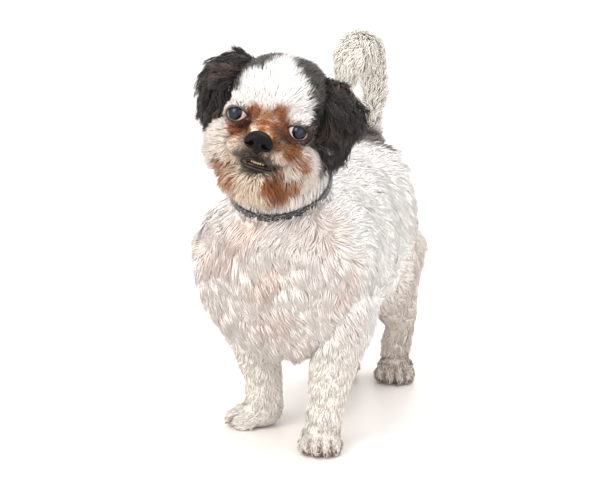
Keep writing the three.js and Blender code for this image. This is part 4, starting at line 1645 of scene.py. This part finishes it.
class SHIHTZU_OT_collar(bpy.types.Operator):
    """Models the collar's strap round the neck"""

    bl_idname = "shihtzu.collar"
    bl_label = "Collar"

    def execute(self, context):
        clear_selection()
        centre, size, side, depth, tangent = LIMBS["neck"].sections(np.array([COLLAR_SHARE]))
        strap, around, out, height = add_ring("collar_strap", 160, 16)
        square = 1 / np.maximum(np.abs(out), np.abs(height)) ** COLLAR_SQUARE
        out, height = out * square, height * square * COLLAR_WIDE / 2
        radius = size - COLLAR_SINK + COLLAR_THICK / 2 * (1 + out)[:, None]
        c, s = np.cos(around)[:, None], np.sin(around)[:, None]
        circle = c * side * radius[:, :1] + s * depth * radius[:, 1:]
        set_coordinates(strap.data, centre + circle + tangent * height[:, None])
        outward(strap)
        layer = strap.data.uv_layers[0]
        layer.name = "weave"
        loops = gathered(strap.data.loops, "vertex_index", 1, np.int32)[:, 0]
        cloth = np.column_stack([around / 2 * size.sum(), height])
        layer.data.foreach_set("uv", cloth[loops].astype(np.float32).ravel())
        ride(strap, webbing(), ["collar"])
        return {"FINISHED"}


# Stage

FLOOR_SIZE = 24.0
CAMERA_PITCH = math.radians(14.6)
CAMERA_YAW = math.radians(27.5)
LENS = 120
SENSOR = 36
FARTHEST = 60
SKY_COLOUR = (1.0, 0.985, 0.975, 1)
SKY_STRENGTH = 1.15
# Each light's name, place and size in metres, with its strength and colour, and the place they light
LIGHTS = [
    ("Key", (-0.7, -1.9, 1.9), 1.3, 40, "FFFAF4"),
    ("Fill", (2.2, -1.2, 1.2), 1.6, 10, "FFFAF5"),
    ("Top", (0.3, 0.9, 2.2), 1.4, 22, "FFFFFF"),
]
LIT_PLACE = (0, 0, 0.2)


def add_floor():
    """A pale floor with a faint cloud of grey."""
    bpy.ops.mesh.primitive_grid_add(x_subdivisions=8, y_subdivisions=8, size=FLOOR_SIZE)
    floor = bpy.context.object
    floor.name = "floor"
    material, tree, shader = new_material("Pale floor", Roughness=0.35, IOR=1.5)
    cloud = over_object(tree, "ShaderNodeTexNoise", Scale=3.0)
    banded(tree, shader, cloud.outputs["Fac"], (0.3, "EFEBE8"), (0.7, "F3F0ED"))
    floor.data.materials.append(material)


def add_lights(scene):
    """Soft area lights and a pale sky."""
    scene.world = bpy.data.worlds.new("Studio")
    scene.world.use_nodes = True
    sky = scene.world.node_tree.nodes["Background"]
    sky.inputs["Color"].default_value = SKY_COLOUR
    sky.inputs["Strength"].default_value = SKY_STRENGTH
    for name, at, size, energy, code in LIGHTS:
        bpy.ops.object.light_add(type="AREA", location=at)
        light = bpy.context.object
        light.name = name
        light.data.energy = energy
        light.data.size = size
        light.data.color = linear(code)
        light.rotation_euler = (Vector(LIT_PLACE) - Vector(at)).to_track_quat("-Z", "Y").to_euler()


def add_camera(scene):
    """The camera at the photograph's place and angle."""
    level = Vector((-math.sin(CAMERA_YAW), math.cos(CAMERA_YAW), 0))
    ahead = level * math.cos(CAMERA_PITCH) - Vector(UP) * math.sin(CAMERA_PITCH)
    bpy.ops.object.camera_add(location=placed(CAMERA_AT))
    camera = bpy.context.object
    camera.rotation_euler = ahead.to_track_quat("-Z", "Y").to_euler()
    camera.data.lens = LENS
    camera.data.sensor_width = SENSOR
    camera.data.clip_end = FARTHEST
    scene.camera = camera


class SHIHTZU_OT_stage(bpy.types.Operator):
    """Lays a pale floor, sets soft studio light and places the camera at the photograph's angle"""

    bl_idname = "shihtzu.stage"
    bl_label = "Stage"

    def execute(self, context):
        clear_selection()
        add_floor()
        add_lights(context.scene)
        add_camera(context.scene)
        context.scene.view_settings.view_transform = "Standard"
        return {"FINISHED"}


STEPS = (
    SHIHTZU_OT_skin,
    SHIHTZU_OT_coat,
    SHIHTZU_OT_eyes,
    SHIHTZU_OT_nose,
    SHIHTZU_OT_mouth,
    SHIHTZU_OT_claws,
    SHIHTZU_OT_collar,
    SHIHTZU_OT_stage,
)


class SHIHTZU_PT_panel(bpy.types.Panel):
    """Lists the dog's sizes, colours and steps"""

    bl_idname = "SHIHTZU_PT_panel"
    bl_label = "Shih tzu"
    bl_space_type = "VIEW_3D"
    bl_region_type = "UI"
    bl_category = "Shih tzu"

    def draw(self, context):
        for group in (context.scene.shihtzu_sizes, context.scene.shihtzu_colours):
            for key in group.bl_rna.properties.keys():
                if key not in ("rna_type", "name"):
                    self.layout.prop(group, key)
        for step in STEPS:
            self.layout.operator(step.bl_idname)


CLASSES = (ShihTzuSizes, ShihTzuColours, *STEPS, SHIHTZU_PT_panel)


def register():
    for cls in CLASSES:
        bpy.utils.register_class(cls)
    bpy.types.Scene.shihtzu_sizes = bpy.props.PointerProperty(type=ShihTzuSizes)
    bpy.types.Scene.shihtzu_colours = bpy.props.PointerProperty(type=ShihTzuColours)


def unregister():
    del bpy.types.Scene.shihtzu_colours
    del bpy.types.Scene.shihtzu_sizes
    for cls in reversed(CLASSES):
        bpy.utils.unregister_class(cls)


def main():
    register()
    for step in STEPS:
        group, name = step.bl_idname.split(".")
        getattr(getattr(bpy.ops, group), name)()


if __name__ == "__main__":
    main()
